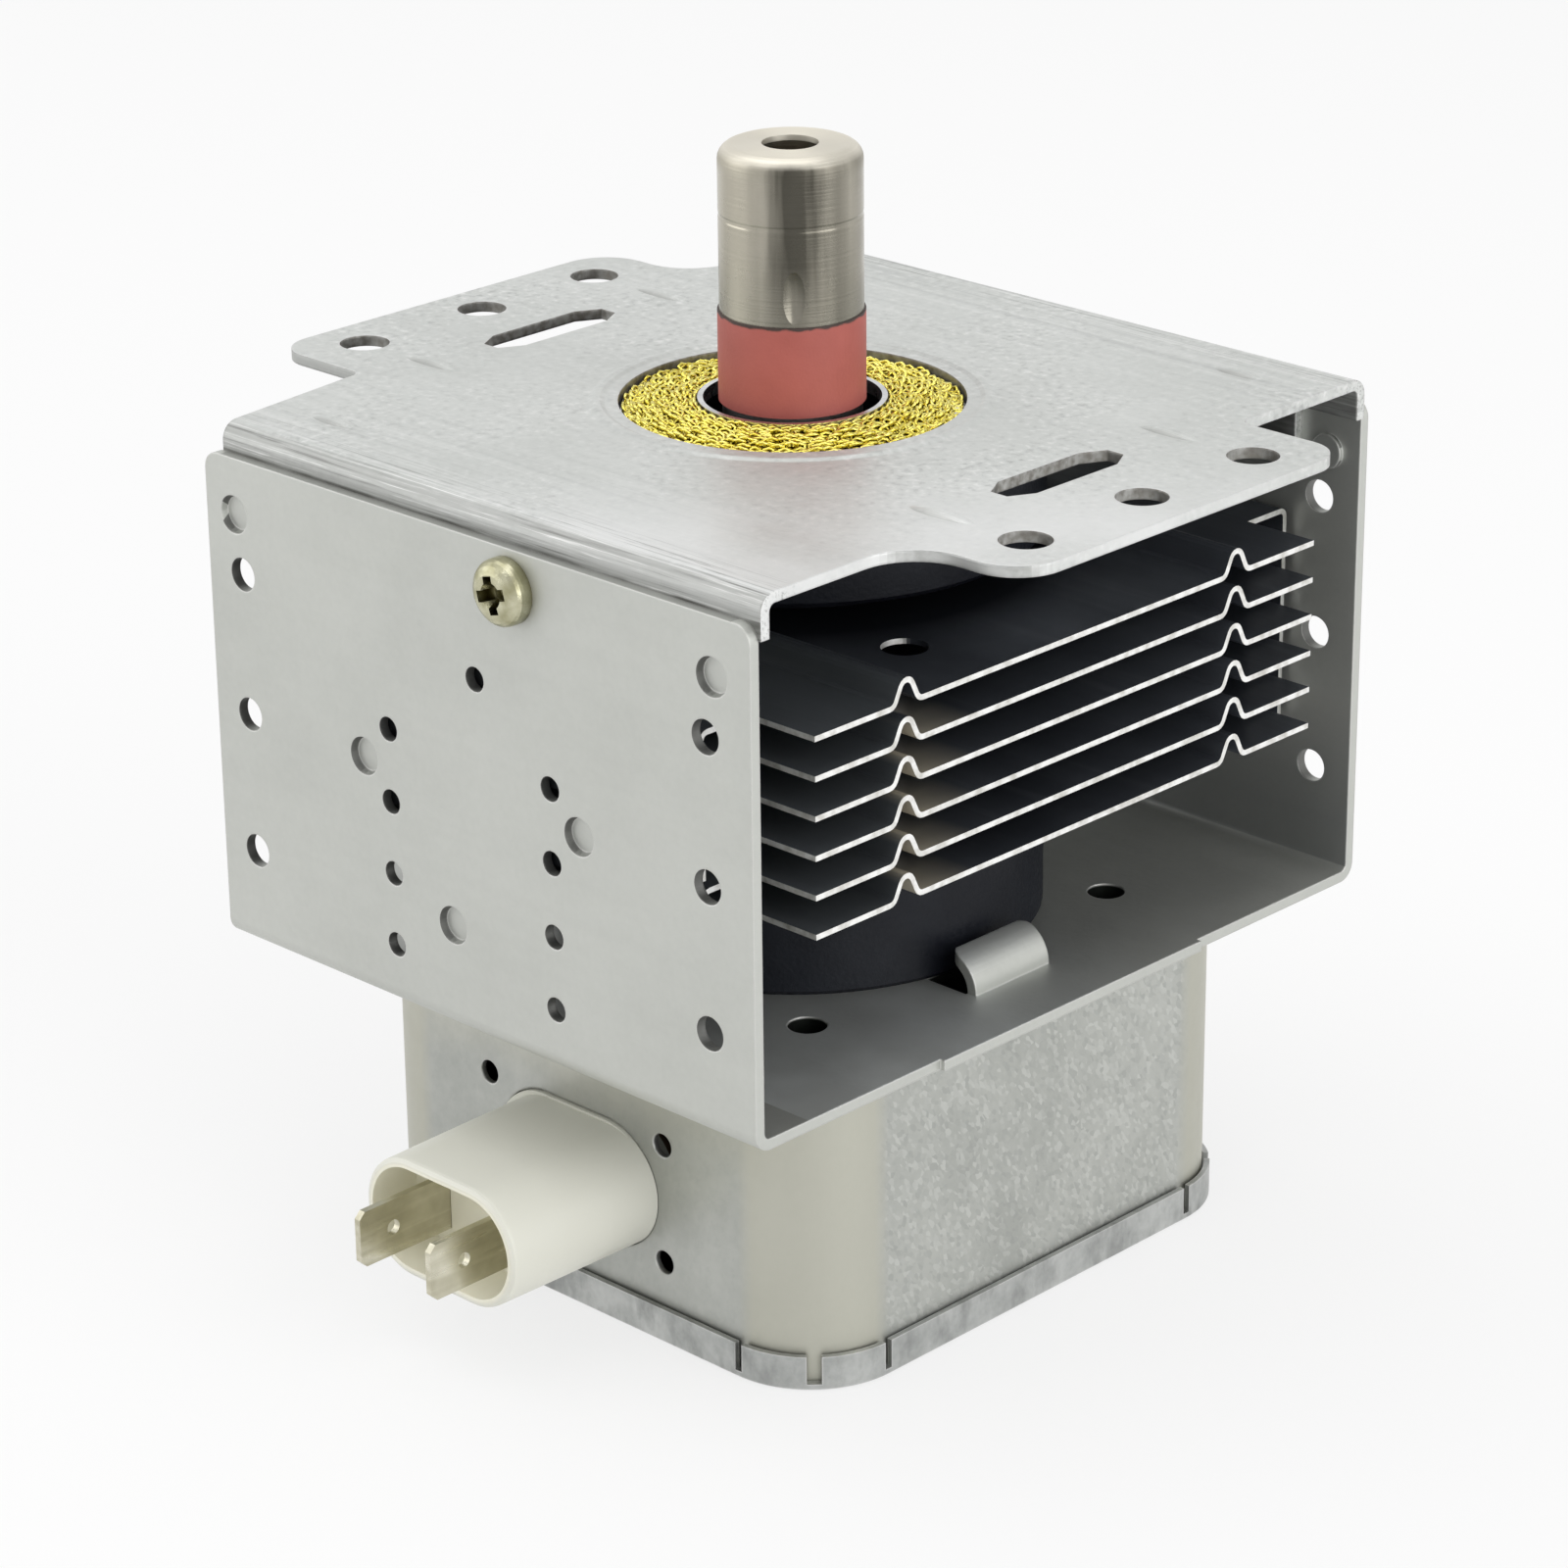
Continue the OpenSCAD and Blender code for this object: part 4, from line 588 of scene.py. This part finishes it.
GASKET_IN = 0.01025
GASKET_OUT = 0.0182
BED_Z = -0.00115
CREST_Z = 0.0002
CREST_FALL = 0.0009
ROW_SINK = 0.00022
WIRE_R = 0.00019
ROUNDS = 7
STITCH = 0.0016
STEPS = 10
LOOP_BULGE = 0.00045
LOOP_REACH = 0.00070
LOOP_WAVE = 0.00024
SLACK_TURN = 0.00075
SLACK_REACH = 0.00070
SLACK_RISE = 0.00040
draw = random.Random(7)
knit = bpy.data.curves.new("knit", "CURVE")
knit.dimensions = "3D"
knit.bevel_depth = WIRE_R
knit.bevel_resolution = 1
for row in range(2 * ROUNDS - 1):
    across = (row + 1) / (2 * ROUNDS)
    radius = GASKET_IN + across * (GASKET_OUT - GASKET_IN)
    stitches = round(2 * math.pi * radius / STITCH)
    start = draw.uniform(0.0, 1.0)
    crest = CREST_Z - CREST_FALL * across ** 2 - ROW_SINK * (row % 2)
    thread = knit.splines.new("POLY")
    thread.points.add(stitches * STEPS - 1)
    thread.use_cyclic_u = True
    for stitch in range(stitches):
        lean, lift, push = (draw.uniform(-1.0, 1.0) for way in range(3))
        for step in range(STEPS):
            t = 2 * math.pi * step / STEPS
            ease = math.sin(t / 2) ** 2
            turn = (stitch + start + step / STEPS) / stitches * 2 * math.pi
            turn += (LOOP_BULGE * math.sin(2 * t) + SLACK_TURN * lean * ease) / radius
            reach = radius - LOOP_REACH * math.cos(t) + SLACK_REACH * push * ease
            reach = min(max(reach, GASKET_IN + WIRE_R), GASKET_OUT - WIRE_R)
            rise = crest - 2 * WIRE_R + LOOP_WAVE * math.cos(2 * t) + SLACK_RISE * lift * ease
            rise = max(rise, BED_Z + WIRE_R)
            point = thread.points[stitch * STEPS + step]
            point.co = (reach * math.cos(turn), reach * math.sin(turn), rise, 1.0)
knit_source = bpy.data.objects.new("knit_source", knit)
bpy.context.scene.collection.objects.link(knit_source)
bpy.context.view_layer.update()
knit_shape = knit_source.evaluated_get(bpy.context.evaluated_depsgraph_get())
knit_mesh = bpy.data.meshes.new_from_object(knit_shape)
bpy.data.objects.remove(knit_source)

CORE_RIM_H = 0.0001
CORE_SLOPE_W = 0.0025
CORE_SLOPE_Z = -0.0008
CORE_TOP_Z = -0.0004
packed = bmesh.new()
corners = [packed.verts.new((reach, 0.0, rise)) for reach, rise in (
    (GASKET_IN, BED_Z),
    (GASKET_OUT, BED_Z),
    (GASKET_OUT, BED_Z + CORE_RIM_H),
    (GASKET_OUT - CORE_SLOPE_W, CORE_SLOPE_Z),
    (GASKET_IN, CORE_TOP_Z),
)]
outline = [packed.edges.new((corners[i - 1], corners[i])) for i in range(len(corners))]
bmesh.ops.spin(
    packed, geom=corners + outline, cent=(0, 0, 0), axis=(0, 0, 1), angle=2 * math.pi, steps=96,
    use_merge=True,
)
bmesh.ops.remove_doubles(packed, verts=packed.verts, dist=1e-6)
bmesh.ops.recalc_face_normals(packed, faces=packed.faces)
core_mesh = bpy.data.meshes.new("core")
packed.to_mesh(core_mesh)
packed.free()

roll = bmesh.new()
roll.from_mesh(knit_mesh)
roll.from_mesh(core_mesh)
wire_roll = bpy.data.objects.new("wire_roll", bpy.data.meshes.new("wire_roll"))
roll.to_mesh(wire_roll.data)
roll.free()
wire_roll.data.shade_smooth()
wire_roll.data.materials.append(gold_wire)
bpy.context.scene.collection.objects.link(wire_roll)
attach(wire_roll, "root")
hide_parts("mesh_gasket")

# Output ceramic: a short alumina tube, dry-pressed and fired, dyed pink-red, with a dark uneven line under
# the cap that is braze darkened further as painted shadow of the cap's rim. The stem's ceramic is the same.
ALUMINA = (0.42, 0.105, 0.088)
ALUMINA_DEEP = (0.40, 0.099, 0.082)
ALUMINA_PALE = (0.455, 0.118, 0.099)
BRAZE_AND_SHADOW = (0.05, 0.03, 0.026)
UNDER_CAP_FROM = 0.00985
UNDER_CAP_TO = 0.01005
UNDER_CAP_CREEP = 0.0006
pink_alumina, tree, skin, place = surface("pink_alumina", ALUMINA, 0.55, 0.0)
fired = span(tree, speckle(tree, place, 160.0, 4.0), 0.35, 0.65)
join(tree, blend(tree, fired, ALUMINA_DEEP, ALUMINA_PALE), skin, "Base Color")
# Braze and painted shadow: a dark uneven line just under the cap's rim.
crept = math_of(tree, "MULTIPLY_ADD", speckle(tree, place, 700.0, 3.0), UNDER_CAP_CREEP, apart(tree, place)["Z"])
lay(tree, skin, span(tree, crept, UNDER_CAP_FROM, UNDER_CAP_TO), BRAZE_AND_SHADOW)
relief(tree, skin, speckle(tree, place, 2600.0, 2.0), 0.00003)
dress(pink_alumina, "output_ceramic", "stem_ceramic")

# Antenna cap: a cup drawn from nickel-silver strip, pushed over the pinch tube and crimped at one place. The
# drawing left smears down its side and fine lines go round it. Its colour also carries painted light and
# shade: a dark ragged band down the side towards the camera as a painted reflection, painted shade on the
# side turned a little further round, painted light on the far sides, and a pale top as painted light.
CAP_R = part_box("antenna_cap")[1].x
DARK_BAND_TURN = -43.5
SHADED_TURN = -18.0
DARK_BAND_FADE_LOW = 0.011
DARK_BAND_FADE_HIGH = 0.0165
SHOULDER_FROM = 0.0250
SHOULDER_TO = 0.0262
TOP_LIT_FROM = 0.0266
TOP_LIT_TO = 0.0274
CAP_MEAN = (0.38, 0.355, 0.30)
CAP_DARK = (0.24, 0.225, 0.187)
CAP_LIGHT = (0.44, 0.415, 0.35)
CAP_SHADED = (0.19, 0.178, 0.148)
CAP_LIT = (0.56, 0.525, 0.43)
CAP_DARK_BAND = (0.05, 0.047, 0.038)
CAP_TOP_LIT = (0.84, 0.80, 0.70)


def round_cap(tree, place, degrees):
    """1 on the side of the cap that lies at that turn, down to -1 on the far side."""
    turn = math.radians(degrees)
    return along(tree, place, (math.cos(turn) / CAP_R, math.sin(turn) / CAP_R, 0.0))


cap_nickel, tree, skin, place = surface(
    "cap_nickel", CAP_MEAN, 0.24, anisotropic=0.5, anisotropic_rotation=0.25,
)
lathe_way = add(tree, "ShaderNodeTangent", direction_type="RADIAL", axis="Z").outputs[0]
join(tree, lathe_way, skin, "Tangent")
smears = span(tree, speckle(tree, place, 190.0, 2.0, (1.0, 1.0, 0.04)), 0.36, 0.62, 0.0, 0.62)
runs = span(tree, speckle(tree, place, 620.0, 3.0, (1.0, 1.0, 0.06)), 0.35, 0.68)
blotch = span(tree, speckle(tree, place, 240.0, 4.0), 0.35, 0.70)
shade = math_of(tree, "MULTIPLY_ADD", runs, 0.2, smears)
shade = math_of(tree, "MULTIPLY_ADD", blotch, 0.18, shade)
join(tree, blend(tree, shade, CAP_DARK, CAP_LIGHT), skin, "Base Color")

# Painted shade on the side turned to -18 degrees, and painted light on the sides away from it.
shaded_side = round_cap(tree, place, SHADED_TURN)
lay(tree, skin, span(tree, shaded_side, 0.90, 0.98, 0.0, 0.75), CAP_SHADED)
lay(tree, skin, span(tree, shaded_side, 0.68, 0.25, 0.0, 0.5), CAP_LIT)
up_cap = apart(tree, place)["Z"]
# Painted reflection: a dark ragged band down the side towards the camera, fainter below.
ragged = math_of(tree, "MULTIPLY_ADD", math_of(tree, "SUBTRACT", runs, 0.5), 0.06,
                 round_cap(tree, place, DARK_BAND_TURN))
dark_band = span(tree, ragged, 0.89, 0.98, 0.0, 0.88)
fainter_below = span(tree, up_cap, DARK_BAND_FADE_LOW, DARK_BAND_FADE_HIGH, 0.45, 1.0)
lay(tree, skin, overlap(tree, dark_band, fainter_below), CAP_DARK_BAND)
# Painted light: the cap's top, above the shoulder, is pale.
lay(tree, skin, span(tree, up_cap, TOP_LIT_FROM, TOP_LIT_TO, 0.0, 0.8), CAP_TOP_LIT)

polish = span(tree, blotch, 0.0, 1.0, 0.30, 0.2)
shoulder = span(tree, up_cap, SHOULDER_FROM, SHOULDER_TO, 0.0, 0.22)
join(tree, math_of(tree, "ADD", polish, shoulder), skin, "Roughness")
relief(tree, skin, speckle(tree, place, 500.0, 3.0, (0.04, 0.04, 6.0)), 0.00003)
dress(cap_nickel, "antenna_cap")

# Chokes: two coils of enamelled copper wire wound on the ferrite cores inside the filter box, between the
# stem's terminals and the capacitor block.
ENAMEL_DARK = (0.34, 0.13, 0.05)
ENAMEL_LIGHT = (0.52, 0.22, 0.09)
enamel = plain_metal("enamel", ENAMEL_DARK, ENAMEL_LIGHT, 0.28, cloud=300.0, grain=3000.0)
dress(enamel, "left_choke_coil", "right_choke_coil")

# Filter box: a deep-drawn can of spangled galvanised steel. Short slanted zinc flakes show on its flat sides,
# and its four corners, where the sheet flowed most, are smooth and tan. Its roof and the top of its sides are
# painted dark as painted shadow under the yoke.
BOX_HALF = 0.0346
BOX_CORNER = 0.0103
BOX_MID_Y = 0.001
BOX_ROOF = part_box("filter_box")[1].z
STAIN_FROM = -0.068
STAIN_TO = -0.058
STAIN_CREEP = 0.008
BOX_DARK = (0.40, 0.41, 0.385)
BOX_LIGHT = (0.485, 0.495, 0.465)
BOX_RUBBED = (0.58, 0.58, 0.56)
FLAKE_BRIGHT = (0.60, 0.61, 0.58)
FLAKE_DIM = (0.33, 0.34, 0.325)
BOX_STAIN = (0.56, 0.55, 0.465)
BOX_TAN = (0.49, 0.485, 0.415)
ROOF_SHADOW = (0.03, 0.032, 0.03)
box_zinc, tree, skin, place = zinc(
    "box_zinc", BOX_DARK, BOX_LIGHT, BOX_RUBBED, roughness=0.44, metallic=0.85,
    cloud=70.0, grain=900.0, rolling=(1.0, 1.0, 0.2), edge=0.0004,
)
spot = apart(tree, place)
side_face = size_of(tree, facing(tree)["X"])
past_side = math_of(tree, "SUBTRACT", size_of(tree, spot["X"]), BOX_HALF - BOX_CORNER)
from_mid_y = size_of(tree, math_of(tree, "SUBTRACT", spot["Y"], BOX_MID_Y))
past_end = math_of(tree, "SUBTRACT", from_mid_y, BOX_HALF - BOX_CORNER)
in_corner = span(tree, math_of(tree, "MINIMUM", past_side, past_end), -0.0008, 0.0012)
flat = overlap(tree, math_of(tree, "SUBTRACT", 1.0, in_corner), span(tree, side_face, 0.3, 0.8, 0.3, 1.0))

slant = {"Vector": place, "Rotation": (0.6, 0.5, 0.0), "Scale": (1.0, 1.0, 2.4)}
slanted = add(tree, "ShaderNodeMapping", slant, vector_type="TEXTURE").outputs[0]
flakes = add(tree, "ShaderNodeTexVoronoi", {"Vector": slanted, "Scale": 2300.0}).outputs["Color"]
flake = add(tree, "ShaderNodeSeparateColor", {0: flakes}).outputs
lay(tree, skin, span(tree, overlap(tree, flake[0], flat), 0.55, 1.0, 0.0, 0.55), FLAKE_BRIGHT)
lay(tree, skin, overlap(tree, span(tree, flake[1], 0.6, 1.0, 0.0, 0.45), flat), FLAKE_DIM)

crept = math_of(tree, "MULTIPLY_ADD", speckle(tree, place, 130.0, 4.0), STAIN_CREEP, spot["Z"])
end_face = span(tree, side_face, 0.8, 0.3, 0.0, 0.75)
lay(tree, skin, overlap(tree, span(tree, crept, STAIN_FROM, STAIN_TO), end_face), BOX_STAIN)
lay(tree, skin, math_of(tree, "MULTIPLY", in_corner, 0.85), BOX_TAN)
# Painted shadow: the roof and the top of the sides are dark under the yoke.
lay(tree, skin, span(tree, spot["Z"], BOX_ROOF - 0.0003, BOX_ROOF - 0.0001), ROOF_SHADOW)
dress(box_zinc, "filter_box")

# Box lid: a pressed sheet whose skirt is cut into strips and folded up round the box's rim. The strips are
# a little wavy, and scuffed dark from the folding.
LID_DARK = (0.36, 0.37, 0.36)
LID_LIGHT = (0.54, 0.55, 0.535)
LID_RUBBED = (0.62, 0.62, 0.61)
LID_SCUFF = (0.22, 0.225, 0.22)
LID_WAVE = 0.0003
lid_zinc, tree, skin, place = zinc(
    "lid_zinc", LID_DARK, LID_LIGHT, LID_RUBBED, roughness=0.42, metallic=0.85,
    cloud=160.0, grain=1300.0, rolling=(1.0, 1.0, 0.25), edge=0.0003,
)
scuff = span(tree, speckle(tree, place, 330.0, 4.0, (1.0, 1.0, 0.5), 0.6), 0.50, 0.70, 0.0, 0.6)
lay(tree, skin, scuff, LID_SCUFF)
relief(tree, skin, speckle(tree, place, 210.0, 2.0), LID_WAVE)
dress(lid_zinc, "box_lid")

# Capacitor block: two feed-through capacitors potted in one tan ceramic-filled block, fixed in the box's wall
# behind the connector.
POTTING_DARK = (0.36, 0.24, 0.14)
POTTING_LIGHT = (0.48, 0.34, 0.21)
potting, tree, skin, place = surface("potting", POTTING_LIGHT, 0.5, 0.0)
join(tree, blend(tree, speckle(tree, place, 500.0, 4.0), POTTING_DARK, POTTING_LIGHT), skin, "Base Color")
relief(tree, skin, speckle(tree, place, 1500.0), 0.00005)
dress(potting, "capacitor_block")

# Connector: an ivory moulded shell round the two blades, held in the box wall by its flange. Inside, the
# shell is a little yellower and painted lighter as painted light.
SHELL_CORE = 0.00465
SHELL_IN = 0.0060
SHELL_FADE = 0.0004
SHELL_Z = -0.0786
IVORY_INSIDE_LIT = (0.87, 0.85, 0.72)
IVORY_OUT = (0.72, 0.717, 0.64)
ivory, tree, skin, place = surface("ivory", IVORY_OUT, 0.42, 0.0)
spot = apart(tree, place)
# Inside the shell the colour is yellower, and lighter as painted light.
beside = math_of(tree, "MAXIMUM", math_of(tree, "SUBTRACT", size_of(tree, spot["X"]), SHELL_CORE), 0.0)
above = math_of(tree, "SUBTRACT", spot["Z"], SHELL_Z)
squares = math_of(tree, "ADD", overlap(tree, beside, beside), overlap(tree, above, above))
outside = span(tree, math_of(tree, "SQRT", squares), SHELL_IN, SHELL_IN + SHELL_FADE)
join(tree, blend(tree, outside, IVORY_INSIDE_LIT, IVORY_OUT), skin, "Base Color")
relief(tree, skin, speckle(tree, place, 700.0, 2.0), 0.00002)
dress(ivory, "connector_shell")

# Blade terminals: two punched tabs of tin-plated brass that stand in the connector's shell. The plug has
# scratched them along their length.
TIN_DULL = (0.50, 0.475, 0.36)
TIN_BRIGHT = (0.76, 0.735, 0.61)
blade_tin, tree, skin, place = surface("blade_tin", TIN_BRIGHT, 0.30)
scores = span(tree, speckle(tree, place, 900.0, 3.0, (1.0, 0.06, 1.0)), 0.45, 0.70)
dull = span(tree, speckle(tree, place, 260.0, 3.0), 0.35, 0.65)
tin_tone = math_of(tree, "MULTIPLY", math_of(tree, "ADD", scores, dull), 0.5)
join(tree, blend(tree, tin_tone, TIN_DULL, TIN_BRIGHT), skin, "Base Color")
join(tree, span(tree, scores, 0.0, 1.0, 0.36, 0.24), skin, "Roughness")
relief(tree, skin, scores, 0.00002)
dress(blade_tin, "left_blade_terminal", "right_blade_terminal")
